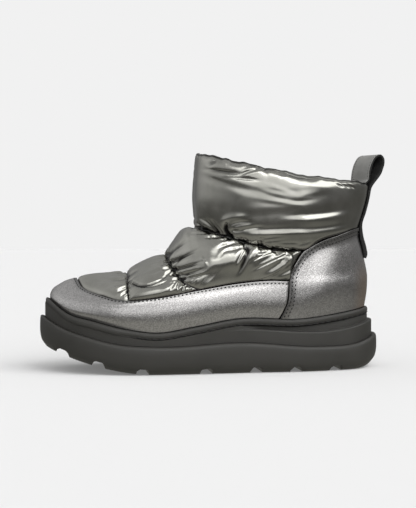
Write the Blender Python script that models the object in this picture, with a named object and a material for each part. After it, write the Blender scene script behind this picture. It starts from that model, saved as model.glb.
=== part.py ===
"""A padded winter boot for the left foot, as separate solids in metres.

The toe points along -X, the outer side faces -Y and +Z is up. The floor is z = 0.
Every curved piece is worked out from one last: a stack of rings that run round the boot
from the toe end to the heel end. The quilting seams and panel edges are lines in side view,
found on the last, and the wall, the leather panels and the welt share one grid of points,
so that they stay the same small gap apart.
"""

import math
from collections import namedtuple

import bmesh
import bpy
import numpy as np

# Driving dimensions
SOLE_FRONT = -0.1420
SOLE_BACK = 0.1400
SOLE_HALF_WIDTH = 0.0530
BALL = -0.0470
GAP = 0.0003
SEAT_GAP = 0.0005
LEATHER = 0.0018
LINING = 0.0030
RIM_WALL = 0.0026
WELT_HEIGHT = 0.0050
WELT_THICKNESS = 0.0022
INSOLE_THICKNESS = 0.0045
INSOLE_LEAN = 0.8
FRAME_SHIFT = (-0.0021, 0.0, 0.0)

# Shape of the foot in plan
TOE_SWING = 0.006
SWING_START = -0.040
SWING_LENGTH = 0.100
WAIST_PLACE = 0.026
WAIST_LENGTH = 0.046
OUTER_WAIST = 0.07
INNER_WAIST = 0.13
SOLE_NOSE = 2.3
SOLE_SEAT = 2.6
OUTER, INNER = -1, 1
SIDES = (OUTER, INNER)

# Heights of the sole along its length
Place = namedtuple("Place", "x z")
FEATHER_LINE = (
    Place(-0.1338, 0.0580),
    Place(-0.1228, 0.0492),
    Place(-0.1000, 0.0420),
    Place(-0.0750, 0.0358),
    Place(-0.0500, 0.0326),
    Place(-0.0200, 0.0370),
    Place(0.0150, 0.0430),
    Place(0.0700, 0.0424),
    Place(0.0950, 0.0452),
    Place(0.1300, 0.0505),
)
OUTSOLE_TOP = (
    Place(-0.1420, 0.0460),
    Place(-0.1260, 0.0369),
    Place(-0.1070, 0.0303),
    Place(-0.0840, 0.0246),
    Place(-0.0500, 0.0220),
    Place(0.0200, 0.0244),
    Place(0.0810, 0.0202),
    Place(0.1190, 0.0220),
    Place(0.1400, 0.0290),
)
MIDSOLE_STEP = (
    Place(-0.1380, 0.0490),
    Place(-0.1070, 0.0350),
    Place(-0.0500, 0.0252),
    Place(0.0220, 0.0350),
    Place(0.0660, 0.0325),
    Place(0.0870, 0.0321),
    Place(0.1090, 0.0344),
    Place(0.1360, 0.0405),
)
TOE_ROCKER_START = -0.056
TOE_ROCKER_RISE = 0.0220
TOE_ROCKER_POWER = 1.7
HEEL_ROCKER_START = 0.114
HEEL_ROCKER_RISE = 0.0075

# Rings of the last, from the lasting margin up to the rim
Ring = namedtuple(
    "Ring", "name rise front_x front_z back_x back_z half_width widest nose seat dip sag"
)
RINGS = (
    Ring("margin", 0.00, -0.1332, 0, 0.1291, 0, 0.0449, -0.048, 2.30, 2.60, 0, 0),
    Ring("feather", 0.00, -0.1338, 0, 0.1297, 0, 0.0455, -0.048, 2.30, 2.60, 0, 0),
    Ring("rand", 0.35, -0.1326, 0, 0.1313, 0, 0.0474, -0.048, 2.30, 2.55, 0, 0),
    Ring("shoulder", 0.70, -0.1270, 0, 0.1314, 0, 0.0474, -0.048, 2.25, 2.50, 0, 0),
    Ring("edge", 1.00, -0.1115, 0.0756, 0.1308, 0.081, 0.0460, -0.046, 2.20, 2.50, 0.0173, 0),
    Ring("vamp", 1.00, -0.0705, 0.0795, 0.1266, 0.099, 0.0430, 0.010, 2.00, 2.50, 0.0060, 0),
    Ring("instep", 1.00, -0.0382, 0.0940, 0.1240, 0.110, 0.0420, 0.030, 2.00, 2.50, 0.0030, 0),
    Ring("ankle", 1.00, -0.0178, 0.1170, 0.1246, 0.119, 0.0415, 0.050, 2.15, 2.50, 0, 0),
    Ring("shaft", 1.00, -0.0152, 0.1450, 0.1294, 0.138, 0.0415, 0.054, 2.10, 2.50, 0, 0.002),
    Ring("rim", 1.00, -0.0120, 0.1762, 0.1312, 0.152, 0.0410, 0.058, 2.10, 2.50, 0, 0.0045),
)
FEATHER_LEVEL = 1.0
EDGE_LEVEL = 4
ANKLE_LEVEL = 7
TOP_LEVEL = len(RINGS) - 1.0
RING_STEPS = 241
JUNCTION_ALONG = 0.65
DIP_PEAK = 0.167
DIP_POWERS = (0.5, 2.5)

# Panel edges and quilting seams, as lines in side view
MUDGUARD_EDGE = (
    Place(-0.1115, 0.0756),
    Place(-0.1082, 0.0689),
    Place(-0.1017, 0.0654),
    Place(-0.0924, 0.0624),
    Place(-0.0830, 0.0600),
    Place(-0.0738, 0.0590),
    Place(-0.0550, 0.0602),
    Place(-0.0160, 0.0668),
    Place(0.0150, 0.0718),
    Place(0.0470, 0.0740),
    Place(0.0582, 0.0734),
)
COUNTER_EDGE = (
    Place(0.0490, 0.0410),
    Place(0.0538, 0.0508),
    Place(0.0571, 0.0621),
    Place(0.0582, 0.0734),
    Place(0.0598, 0.0807),
    Place(0.0635, 0.0880),
    Place(0.0687, 0.0961),
    Place(0.0764, 0.1014),
    Place(0.0852, 0.1058),
    Place(0.0990, 0.1102),
    Place(0.1148, 0.1152),
    Place(0.1300, 0.1185),
)
COLLAR_SEAM = (
    Place(-0.0181, 0.1172),
    Place(-0.0109, 0.1153),
    Place(0.0027, 0.1106),
    Place(0.0157, 0.1065),
    Place(0.0308, 0.1024),
    Place(0.0432, 0.0995),
    Place(0.0559, 0.0982),
    Place(0.0690, 0.0975),
)
INSTEP_SEAM = (
    Place(-0.0279, 0.0640),
    Place(-0.0286, 0.0687),
    Place(-0.0315, 0.0744),
    Place(-0.0346, 0.0802),
    Place(-0.0366, 0.0863),
    Place(-0.0384, 0.0955),
)
VAMP_SEAM = (
    Place(-0.0722, 0.0580),
    Place(-0.0724, 0.0660),
    Place(-0.0717, 0.0720),
    Place(-0.0702, 0.0820),
)
JUNCTION_X = MUDGUARD_EDGE[-1].x
BEYOND_APEX_SLOPE = 2.0

# Columns and rows of the shared grid, and how far each puff swells
TOE_COLUMNS, VAMP_COLUMNS, INSTEP_COLUMNS, COUNTER_COLUMNS = 9, 5, 8, 9
LEATHER_ROWS = 4
Puff = namedtuple("Puff", "name rows swell full_length start_sink end_sink peak")
PUFFS = (
    Puff("toe", 4, 0.0042, 0.022, -0.0021, -0.0012, 0.50),
    Puff("vamp", 4, 0.0068, 0.024, -0.0012, -0.0014, 0.50),
    Puff("instep", 5, 0.0085, 0.024, -0.0014, -0.0016, 0.50),
    Puff("collar", 8, 0.0088, 0.020, -0.0020, 0.0010, 0.36),
)
PUFF_ROUNDNESS = 2.4
COLLAR_BACK_FLATTENING = 0.90
COLLAR_BACK_START = 0.78
COLLAR_BACK_LENGTH = 0.15
COLLAR_FRONT_SWELL = 0.12
COLLAR_FRONT_END = 0.22
RIM_ROLL = 0.0022

# Leather panels: the cut between them as a share of the counter's columns, and the drop of their top edge
PANEL_END_SHARE = 0.004
PANEL_TOP_DROP = 0.01

# Sole pieces
Welt = namedtuple("Welt", "width rise")
WELT_WALL = (Welt(0.55, 0.0), Welt(1.0, 0.22), Welt(1.0, 0.78), Welt(0.72, 1.0))
SOLE_STATIONS = 40
SOLE_PLAN_HALF = 0.047
Step = namedtuple("Step", "inset share")
OUTSOLE_WALL = (
    Step(0.0050, 0.00),
    Step(0.0012, 0.17),
    Step(0.0000, 0.45),
    Step(0.0003, 0.86),
    Step(0.0022, 1.00),
)
MIDSOLE_INSET = 0.0042
MIDSOLE_STEP_DEPTH = 0.0036
MIDSOLE_STEP_START = 0.010
MIDSOLE_STEP_LENGTH = 0.030
MIDSOLE_ROUNDING = 0.0010
MIDSOLE_LEAST_TIER = 0.0020
LUG_DEPTH = 0.0045
LUG_GAP_BOTTOM = 0.0105
LUG_GAP_TOP = 0.0070
LUG_GAPS = (-0.1240, -0.0961, -0.0618, -0.0108, 0.0303, 0.0637, 0.0974)
CENTRE_GROOVE_WIDTH = 0.009
CENTRE_GROOVE_ENDS = (-0.098, 0.101)
CUTTER_HALF_LENGTH = 0.080
CUTTER_BELOW = 0.010

# Pull loop: its middle line in side view, and its turn towards the outer side
Strap = namedtuple("Strap", "x z thickness")
STRAP_WIDTH = 0.0220
STRAP_LINE = (
    Strap(0.1239, 0.1400, 0.0018),
    Strap(0.1262, 0.1490, 0.0018),
    Strap(0.1273, 0.1550, 0.0018),
    Strap(0.1288, 0.1660, 0.0018),
    Strap(0.1310, 0.1722, 0.0018),
    Strap(0.1342, 0.1764, 0.0018),
    Strap(0.1374, 0.1775, 0.0018),
    Strap(0.1398, 0.1752, 0.0018),
    Strap(0.1402, 0.1712, 0.0018),
    Strap(0.1386, 0.1655, 0.0018),
    Strap(0.1364, 0.1590, 0.0018),
    Strap(0.1345, 0.1510, 0.0020),
    Strap(0.1324, 0.1400, 0.0020),
    Strap(0.1298, 0.1300, 0.0020),
    Strap(0.1265, 0.1195, 0.0022),
    Strap(0.1270, 0.1095, 0.0030),
    Strap(0.1296, 0.0990, 0.0034),
    Strap(0.1304, 0.0935, 0.0030),
    Strap(0.1302, 0.0910, 0.0014),
)
STRAP_STATIONS = 36
STRAP_ACROSS = (-1.0, -0.5, 0.0, 0.5, 1.0)
STRAP_CUP = 9.0
STRAP_TURN = math.radians(28)
STRAP_TURN_FROM = 0.1548
STRAP_TURN_FULL = 0.1630

# Fineness of the working: steps along and up the last, samples of a line, shortest edge kept
NORMAL_STEP_ALONG, NORMAL_STEP_UP = 0.004, 0.02
LINE_SAMPLES = 600
SLOPE_STEP = 0.001
SHORTEST_EDGE = 2e-5
NO_LENGTH = 1e-5

# Finishes: colour, metallic, roughness
FINISHES = {
    "foil_nylon": ((0.27, 0.27, 0.26), 0.9, 0.28),
    "metallic_leather": ((0.36, 0.35, 0.34), 0.8, 0.42),
    "sole_rubber": ((0.052, 0.050, 0.046), 0.0, 0.62),
    "strap_leather": ((0.22, 0.22, 0.21), 0.1, 0.55),
    "footbed_cloth": ((0.10, 0.10, 0.10), 0.0, 0.95),
}


def smooth(table, at):
    """Cubic curve through a table of (place, value) rows, straight beyond its ends."""
    place, value = np.array(table, float).T
    slope = np.gradient(value, place)
    at = np.asarray(at, float)
    inside = np.clip(at, place[0], place[-1])
    span = np.clip(np.searchsorted(place, inside, side="right") - 1, 0, len(place) - 2)
    width = place[span + 1] - place[span]
    t = (inside - place[span]) / width
    curve = (
        (1 + 2 * t) * (1 - t) ** 2 * value[span]
        + t * (1 - t) ** 2 * width * slope[span]
        + t**2 * (3 - 2 * t) * value[span + 1]
        - t**2 * (1 - t) * width * slope[span + 1]
    )
    end_slope = np.where(at < place[0], slope[0], slope[-1])
    return curve + (at - inside) * end_slope


def ease(value):
    """Smooth step from 0 to 1."""
    t = np.clip(value, 0, 1)
    return t * t * (3 - 2 * t)


def heights(line):
    return [(p.x, p.z) for p in line]


def feather_z(x):
    return smooth(heights(FEATHER_LINE), x)


def midsole_top_z(x):
    return feather_z(x) - WELT_HEIGHT - SEAT_GAP


def bottom_z(x):
    """Underside of the sole: flat from ball to heel, rockered up at both ends."""
    toe = np.clip((TOE_ROCKER_START - x) / (TOE_ROCKER_START - SOLE_FRONT), 0, None)
    heel = np.clip((x - HEEL_ROCKER_START) / (SOLE_BACK - HEEL_ROCKER_START), 0, None)
    return TOE_ROCKER_RISE * toe**TOE_ROCKER_POWER + HEEL_ROCKER_RISE * heel**2


def foot_side(side, x, half):
    """Y of the foot's side where a plain oval has this half width: waist drawn in, toe swung inwards."""
    depth = OUTER_WAIST if side == OUTER else INNER_WAIST
    waist = 1 - depth * np.exp(-(((x - WAIST_PLACE) / WAIST_LENGTH) ** 2))
    swing = TOE_SWING * np.clip((SWING_START - x) / SWING_LENGTH, 0, None) ** 2
    return side * half * waist + swing


def oval(front, back, half_width, widest, nose, seat, turn):
    """Plan oval with its own fullness at each end: x and half width as it turns from front to back."""
    forward = turn < math.pi / 2
    power = np.where(forward, nose, seat)
    reach = np.abs(np.cos(turn)) ** (2 / power)
    x = np.where(forward, widest - (widest - front) * reach, widest + (back - widest) * reach)
    return x, half_width * np.abs(np.sin(turn)) ** (2 / power)


def ring_height(ring, x):
    """Height of a ring above the floor at each of its places."""
    along = np.clip((x - ring.front_x) / (ring.back_x - ring.front_x), 0, 1)
    early, late = DIP_POWERS
    shape = along**early * (1 - along) ** late
    peak = DIP_PEAK**early * (1 - DIP_PEAK) ** late
    level = ring.front_z + (ring.back_z - ring.front_z) * along
    return level - ring.dip * shape / peak - ring.sag * 4 * along * (1 - along)


def ring_points(ring, side):
    """Points of one half of a ring from toe end to heel end, spaced evenly on each side of the junction."""
    turn = np.linspace(0, math.pi, 4 * RING_STEPS)
    x, half = oval(
        ring.front_x, ring.back_x, ring.half_width, ring.widest, ring.nose, ring.seat, turn
    )
    y = foot_side(side, x, half)
    length = np.concatenate([[0], np.cumsum(np.hypot(np.diff(x), np.diff(y)))])
    stops = (0, np.interp(JUNCTION_X, x, length), length[-1])
    even = np.interp(np.linspace(0, 1, RING_STEPS), (0, JUNCTION_ALONG, 1), stops)
    x, y = np.interp(even, length, x), np.interp(even, length, y)
    if ring.name == "margin":
        z = midsole_top_z(x) + SEAT_GAP
    elif ring.rise < 1:
        edge_z = ring_points(RINGS[EDGE_LEVEL], side)[:, 2]
        z = (1 - ring.rise) * feather_z(x) + ring.rise * edge_z
    else:
        z = ring_height(ring, x)
    return np.stack([x, y, z], axis=1)


LAST = {side: np.array([ring_points(ring, side) for ring in RINGS]) for side in SIDES}


def last_point(side, along, level):
    """Points on the last: along 0 at the front to 1 at the back, level counted in rings."""
    along, level = np.broadcast_arrays(np.asarray(along, float), np.asarray(level, float))
    rings = LAST[side]
    step = np.clip(along, 0, 1) * (RING_STEPS - 1)
    low = np.clip(step.astype(int), 0, RING_STEPS - 2)
    part = (step - low)[..., None]
    base = np.clip(np.floor(level).astype(int), 0, len(RINGS) - 2)
    t = (level - base)[..., None]

    def at(row):
        row = np.clip(row, 0, len(RINGS) - 1)
        return rings[row, low] * (1 - part) + rings[row, low + 1] * part

    before, start, end, after = at(base - 1), at(base), at(base + 1), at(base + 2)
    rise_in = (end - before) / 2
    rise_out = (after - start) / 2
    return (
        (1 + 2 * t) * (1 - t) ** 2 * start
        + t * (1 - t) ** 2 * rise_in
        + t**2 * (3 - 2 * t) * end
        - t**2 * (1 - t) * rise_out
    )


def last_normal(side, along, level):
    """Outward normal of the last."""
    before, after = (np.clip(along + step, 0, 1) for step in (-NORMAL_STEP_ALONG, NORMAL_STEP_ALONG))
    below, above = (np.clip(level + step, 0, TOP_LEVEL) for step in (-NORMAL_STEP_UP, NORMAL_STEP_UP))
    across = last_point(side, after, level) - last_point(side, before, level)
    up = last_point(side, along, above) - last_point(side, along, below)
    normal = np.cross(up, across) * side
    return normal / np.linalg.norm(normal, axis=-1, keepdims=True)


def leather_edge_z(x):
    """Side-view height of the edge between leather and quilting."""
    apex = MUDGUARD_EDGE[0]
    mudguard = np.where(
        x < apex.x, apex.z + BEYOND_APEX_SLOPE * (apex.x - x), smooth(heights(MUDGUARD_EDGE), x)
    )
    return np.where(x < JUNCTION_X, mudguard, smooth(heights(COUNTER_EDGE), x))


def collar_seam_z(x):
    return np.where(
        x < COLLAR_SEAM[-1].x,
        smooth(heights(COLLAR_SEAM), x),
        smooth(heights(COUNTER_EDGE), x),
    )


def beyond_leather(points):
    return points[..., 2] - leather_edge_z(points[..., 0])


def beyond_collar_seam(points):
    return points[..., 2] - collar_seam_z(points[..., 0])


def beyond_instep_seam(points):
    return points[..., 0] - smooth([(p.z, p.x) for p in INSTEP_SEAM], points[..., 2])


def beyond_vamp_seam(points):
    return points[..., 0] - smooth([(p.z, p.x) for p in VAMP_SEAM], points[..., 2])


def behind_counter_edge(points):
    return smooth(heights(COUNTER_EDGE), points[..., 0]) - points[..., 2]


def behind_junction(points):
    return points[..., 0] - JUNCTION_X


def first_crossing(places, values):
    """Place where each row of values first turns from below zero to above it."""
    above = values >= 0
    last = values.shape[-1] - 1
    hit = np.clip(np.argmax(above, axis=-1), 1, last)
    hit = np.where(above.any(axis=-1), hit, last)
    rows = np.arange(values.shape[0])
    low, high = values[rows, hit - 1], values[rows, hit]
    share = np.clip(low / np.where(np.abs(low - high) < 1e-12, 1e-12, low - high), 0, 1)
    return places[hit - 1] + share * (places[hit] - places[hit - 1])


def crossing_level(side, along, beyond):
    """Level at which each column of the last passes a seam."""
    levels = np.linspace(FEATHER_LEVEL, TOP_LEVEL, LINE_SAMPLES)
    columns = np.asarray(along, float).reshape(-1, 1)
    return first_crossing(levels, beyond(last_point(side, columns, levels[None, :])))


def column_through(side, beyond, share):
    """Column that passes a line at this share of the way from feather line to leather edge."""
    along = np.linspace(0.0, 1.0, LINE_SAMPLES)
    level = FEATHER_LEVEL + share * (crossing_level(side, along, beyond_leather) - FEATHER_LEVEL)
    return first_crossing(along, beyond(last_point(side, along, level))[None, :])[0]


def columns_of(side, share):
    """The columns of the shared grid at one height of the leather, from toe to heel."""
    stops = (
        0.0,
        column_through(side, beyond_vamp_seam, 1.0),
        column_through(side, beyond_instep_seam, 1.0),
        column_through(side, behind_counter_edge if share < 1 else behind_junction, share),
        1.0,
    )
    counts = (TOE_COLUMNS, VAMP_COLUMNS, INSTEP_COLUMNS, COUNTER_COLUMNS)
    pieces = [
        np.linspace(start, end, count, endpoint=False)
        for start, end, count in zip(stops, stops[1:], counts)
    ]
    return np.concatenate([*pieces, [1.0]])


JUNCTION_COLUMN = TOE_COLUMNS + VAMP_COLUMNS + INSTEP_COLUMNS
HEEL_COLUMN = JUNCTION_COLUMN + COUNTER_COLUMNS


def leather_rows(side):
    """Columns and levels of the rows from the margin up to the leather edge."""
    rows = [(columns_of(side, 0.0), np.zeros(HEEL_COLUMN + 1))]
    for row in range(LEATHER_ROWS + 1):
        share = row / LEATHER_ROWS
        along = columns_of(side, share)
        edge = crossing_level(side, along, beyond_leather)
        rows.append((along, FEATHER_LEVEL + share * (edge - FEATHER_LEVEL)))
    return rows


def puff_profile(puff, part):
    """Cross-section of a puff: 0 at both seams, 1 at its peak."""
    before = (puff.peak - part) / puff.peak
    after = (part - puff.peak) / (1 - puff.peak)
    away = np.where(part < puff.peak, before, after)
    return (1 - np.clip(away, 0, 1) ** PUFF_ROUNDNESS) ** (1 / PUFF_ROUNDNESS)


def quilt_rows(side):
    """Columns, levels and swelling of the rows from the leather edge up to the rim."""
    along = columns_of(side, 1.0)
    edge = crossing_level(side, along, beyond_leather)
    vamp = np.maximum(edge, crossing_level(side, along, beyond_vamp_seam))
    instep = np.maximum(vamp, crossing_level(side, along, beyond_instep_seam))
    collar = np.maximum(instep, crossing_level(side, along, beyond_collar_seam))
    seams = (edge, vamp, instep, collar, np.full_like(along, TOP_LEVEL))
    leather_sink = -(LEATHER + GAP)
    rows = []
    for puff, low, high in zip(PUFFS, seams, seams[1:]):
        length = np.linalg.norm(
            last_point(side, along, high) - last_point(side, along, low), axis=-1
        )
        swell = puff.swell * np.clip(length / puff.full_length, 0, 1)
        if puff.name == "collar":
            back = ease((along - COLLAR_BACK_START) / COLLAR_BACK_LENGTH)
            front = ease(along / COLLAR_FRONT_END)
            swell *= 1 - COLLAR_BACK_FLATTENING * back
            swell *= COLLAR_FRONT_SWELL + (1 - COLLAR_FRONT_SWELL) * front
        start = np.where(low - edge < NO_LENGTH, leather_sink, puff.start_sink)
        for row in range(1, puff.rows + 1):
            part = row / puff.rows
            sink = start + (puff.end_sink - start) * part
            swollen = sink + swell * puff_profile(puff, part)
            offset = np.where(length < NO_LENGTH, leather_sink, swollen)
            rows.append((along, low + part * (high - low), offset))
    return rows


def loop_of(outer_half, inner_half):
    """One closed ring of points: heel to toe along the outer side, toe to heel along the inner side."""
    return np.concatenate([outer_half[::-1], inner_half[1:-1]])


def closed_rows(rows_of_side, offset_of):
    """Rows of points round the whole boot, moved off the last by an offset worked out from each row."""
    halves = []
    for side in SIDES:
        made = []
        for row in rows_of_side[side]:
            along, level = row[0], row[1]
            offset = np.broadcast_to(offset_of(row), along.shape)[:, None]
            made.append(last_point(side, along, level) + offset * last_normal(side, along, level))
        halves.append(made)
    return [loop_of(outer, inner) for outer, inner in zip(*halves)]


def finish_object(name, bm, finish, smooth_angle=40):
    """Puts a bmesh into the scene as one named object with its finish."""
    bmesh.ops.remove_doubles(bm, verts=bm.verts, dist=SHORTEST_EDGE)
    bmesh.ops.recalc_face_normals(bm, faces=bm.faces)
    mesh = bpy.data.meshes.new(name)
    bm.to_mesh(mesh)
    bm.free()
    mesh.shade_smooth()
    mesh.set_sharp_from_angle(angle=math.radians(smooth_angle))
    made = bpy.data.objects.new(name, mesh)
    bpy.context.scene.collection.objects.link(made)
    made.parent = bpy.data.objects["boot"]
    if finish:
        mesh.materials.append(material(finish))
    return made


def material(finish):
    found = bpy.data.materials.get(finish)
    if found:
        return found
    colour, metallic, roughness = FINISHES[finish]
    made = bpy.data.materials.new(finish)
    made.use_nodes = True
    shader = made.node_tree.nodes["Principled BSDF"]
    shader.inputs["Base Color"].default_value = (*colour, 1)
    shader.inputs["Metallic"].default_value = metallic
    shader.inputs["Roughness"].default_value = roughness
    return made


def add_rows(bm, rows):
    return [[bm.verts.new(point) for point in row] for row in rows]


def add_quad(bm, corners):
    """Two triangles on a fixed diagonal, leaving out any that has shrunk to nothing."""
    for picked in ((0, 1, 2), (0, 2, 3)):
        triangle = [corners[i] for i in picked]
        if all((triangle[i].co - triangle[i - 1].co).length > SHORTEST_EDGE for i in range(3)):
            bm.faces.new(triangle)


def add_skin(bm, rows, closed):
    """Faces between neighbouring rows."""
    for low, high in zip(rows, rows[1:]):
        count = len(low)
        for i in range(count if closed else count - 1):
            j = (i + 1) % count
            add_quad(bm, (low[i], low[j], high[j], high[i]))


def tube_solid(name, outside, inside, finish, top=()):
    """A wall with an outside and an inside, round the whole boot, open above and below."""
    bm = bmesh.new()
    outer, inner = add_rows(bm, outside), add_rows(bm, inside)
    crown = add_rows(bm, top)
    for rows in (outer, inner, (outer[0], inner[0]), (outer[-1], *crown, inner[-1])):
        add_skin(bm, rows, closed=True)
    return finish_object(name, bm, finish)


def panel_solid(name, outside, inside, finish):
    """A panel with an outside, an inside and four edges."""
    bm = bmesh.new()
    outer, inner = add_rows(bm, outside), add_rows(bm, inside)
    ends = [([row[end] for row in outer], [row[end] for row in inner]) for end in (0, -1)]
    for rows in (outer, inner, (outer[0], inner[0]), (outer[-1], inner[-1]), *ends):
        add_skin(bm, rows, closed=False)
    return finish_object(name, bm, finish)


def under_leather(row):
    """Offset of the wall where leather covers it."""
    return -(LEATHER + GAP)


def swelling(row):
    """Offset of the quilting, worked out with its row."""
    return row[2]


def lining_depth(row):
    """Depth of the lining under the last, thinning from the ankle up to the rim."""
    level = row[1]
    thinned = ease((level - ANKLE_LEVEL) / (TOP_LEVEL - ANKLE_LEVEL))
    full = LEATHER + GAP + LINING
    return -(full + (RIM_WALL - full) * thinned)


def build_upper(leather, quilt):
    """The padded wall: flat under the leather, swollen into puffs above it."""
    outside = closed_rows(leather, under_leather) + closed_rows(quilt, swelling)
    inside = closed_rows(leather, lining_depth) + closed_rows(quilt, lining_depth)
    roll = (outside[-1] + inside[-1]) / 2 + np.array([0, 0, RIM_ROLL])
    return tube_solid("upper", outside, inside, "foil_nylon", top=[roll])


def panel_rows(leather, first, last, offset):
    """Rows of one leather panel between two columns of each half, across the toe or the heel."""
    halves = []
    for side in SIDES:
        made = []
        for index, (along, level) in enumerate(leather[side]):
            along = along.copy()
            shrink = (along[HEEL_COLUMN] - along[JUNCTION_COLUMN]) * PANEL_END_SHARE
            along[JUNCTION_COLUMN] += shrink if first == JUNCTION_COLUMN else -shrink
            if index == len(leather[side]) - 1:
                level = level - PANEL_TOP_DROP
            points = last_point(side, along, level)
            points = points + offset * last_normal(side, along, level)
            made.append(points[first : last + 1])
        halves.append(made)
    if first == 0:
        return [np.concatenate([outer[::-1], inner[1:]]) for outer, inner in zip(*halves)]
    return [np.concatenate([inner, outer[-2::-1]]) for outer, inner in zip(*halves)]


def build_leather_panel(name, leather, first, last):
    outside = panel_rows(leather, first, last, 0.0)
    inside = panel_rows(leather, first, last, -LEATHER)
    return panel_solid(name, outside, inside, "metallic_leather")


def build_welt(leather):
    """The stitched strip round the foot of the leather, on the rim of the midsole."""
    feather = {side: leather[side][1:2] for side in SIDES}
    inner = closed_rows(feather, lambda row: GAP)[0]
    ahead = np.roll(inner, -1, axis=0) - np.roll(inner, 1, axis=0)
    normal = np.stack([-ahead[:, 1], ahead[:, 0], np.zeros(len(ahead))], axis=1)
    normal /= np.linalg.norm(normal, axis=1, keepdims=True)
    outside = [welt_row(inner + normal * WELT_THICKNESS * step.width, step.rise) for step in WELT_WALL]
    inside = [welt_row(inner, rise) for rise in (0.0, 1.0)]
    return tube_solid("welt", outside, inside, "sole_rubber")


def welt_row(points, rise):
    """Points moved to a share of the height between the midsole and the feather line."""
    low = midsole_top_z(points[:, 0]) + SEAT_GAP
    return np.stack([points[:, 0], points[:, 1], low + rise * (feather_z(points[:, 0]) - low)], axis=1)


def sole_outline(side):
    """Plan of the outsole on one side, from the toe end to the heel end."""
    turn = np.linspace(0, math.pi, SOLE_STATIONS + 1)
    x, half = oval(SOLE_FRONT, SOLE_BACK, SOLE_HALF_WIDTH, BALL, SOLE_NOSE, SOLE_SEAT, turn)
    return x, foot_side(side, x, half)


def sole_row(inset, z_of):
    """One ring of a sole piece: the outsole's plan drawn in, at a height worked out from x."""
    middle = (SOLE_FRONT + SOLE_BACK) / 2
    halves = []
    for side in SIDES:
        x, y = sole_outline(side)
        x = middle + (x - middle) * (1 - inset(x) / (SOLE_BACK - middle))
        y = y * (1 - inset(x) / SOLE_PLAN_HALF)
        halves.append(np.stack([x, y, z_of(x)], axis=1))
    return halves


def slab_solid(name, rows, finish):
    """A sole piece: side wall through the rows, closed by strips across it below and above."""
    bm = bmesh.new()
    walls = add_rows(bm, [loop_of(*row) for row in rows])
    add_skin(bm, walls, closed=True)
    for wall in (walls[0], walls[-1]):
        count = len(wall)
        for i in range(SOLE_STATIONS):
            add_quad(bm, (wall[i], wall[i + 1], wall[(-1 - i) % count], wall[-i % count]))
    return finish_object(name, bm, finish)


def outsole_top_z(x):
    return smooth(heights(OUTSOLE_TOP), x)


def build_outsole():
    rows = []
    for step in OUTSOLE_WALL:
        rows.append(
            sole_row(
                lambda x, step=step: np.full_like(x, step.inset),
                lambda x, step=step: bottom_z(x) + step.share * (outsole_top_z(x) - bottom_z(x)),
            )
        )
    made = slab_solid("outsole", rows, "sole_rubber")
    cut = made.modifiers.new("tread_gaps", "BOOLEAN")
    cut.operation = "DIFFERENCE"
    cut.object = tread_cutter()
    cut.use_self = True
    return made


def wedge(bm, corners, low_y, high_y):
    """A prism across the boot from a four-sided outline in side view."""
    near = [bm.verts.new((x, low_y, z)) for x, z in corners]
    far = [bm.verts.new((x, high_y, z)) for x, z in corners]
    bm.faces.new(near)
    bm.faces.new(far[::-1])
    for i in range(4):
        j = (i + 1) % 4
        bm.faces.new((near[i], far[i], far[j], near[j]))


def tread_cutter():
    """The gaps between the lugs: tapered slots across the sole, and one along its middle."""
    bm = bmesh.new()
    for x in LUG_GAPS:
        rise = float(bottom_z(np.array(x + SLOPE_STEP)) - bottom_z(np.array(x - SLOPE_STEP)))
        slope = rise / (2 * SLOPE_STEP)
        base = float(bottom_z(np.array(x)))
        flare = LUG_GAP_BOTTOM / 2 + CUTTER_BELOW * (LUG_GAP_BOTTOM - LUG_GAP_TOP) / (2 * LUG_DEPTH)
        corners = []
        for reach, height in (
            (-flare, -CUTTER_BELOW),
            (flare, -CUTTER_BELOW),
            (LUG_GAP_TOP / 2, LUG_DEPTH),
            (-LUG_GAP_TOP / 2, LUG_DEPTH),
        ):
            corners.append((x + reach - slope * height, base + height + slope * reach))
        wedge(bm, corners, -CUTTER_HALF_LENGTH, CUTTER_HALF_LENGTH)
    start, end = CENTRE_GROOVE_ENDS
    corners = ((start, -CUTTER_BELOW), (end, -CUTTER_BELOW), (end, LUG_DEPTH), (start, LUG_DEPTH))
    wedge(bm, corners, -CENTRE_GROOVE_WIDTH / 2, CENTRE_GROOVE_WIDTH / 2)
    cutter = finish_object("tread_cutter", bm, None)
    cutter.hide_render = True
    cutter.display_type = "WIRE"
    return cutter


def midsole_bottom_z(x):
    return outsole_top_z(x) + GAP


def midsole_step_z(x):
    """Height of the step between the midsole's tiers."""
    lowest, highest = midsole_bottom_z(x) + MIDSOLE_LEAST_TIER, midsole_top_z(x) - MIDSOLE_LEAST_TIER
    return np.clip(smooth(heights(MIDSOLE_STEP), x), lowest, highest)


def midsole_inset(depth):
    """Inset of a midsole row that draws in by a depth from the waist to the heel."""
    return lambda x: MIDSOLE_INSET + depth * ease((x - MIDSOLE_STEP_START) / MIDSOLE_STEP_LENGTH)


def build_midsole():
    """The cushion layer: one wall at the forefoot, two tiers from the waist to the heel."""
    wide, rounded, narrow = map(midsole_inset, (0.0, MIDSOLE_ROUNDING, MIDSOLE_STEP_DEPTH))
    rows = [
        sole_row(wide, midsole_bottom_z),
        sole_row(wide, lambda x: midsole_step_z(x) - MIDSOLE_ROUNDING),
        sole_row(rounded, midsole_step_z),
        sole_row(narrow, lambda x: midsole_step_z(x) + MIDSOLE_ROUNDING / 2),
        sole_row(narrow, midsole_top_z),
    ]
    return slab_solid("midsole", rows, "sole_rubber")


def inside_lining(row):
    """Offset that keeps the footbed clear of the wall's inside."""
    return -(LEATHER + LINING + 3 * GAP)


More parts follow.
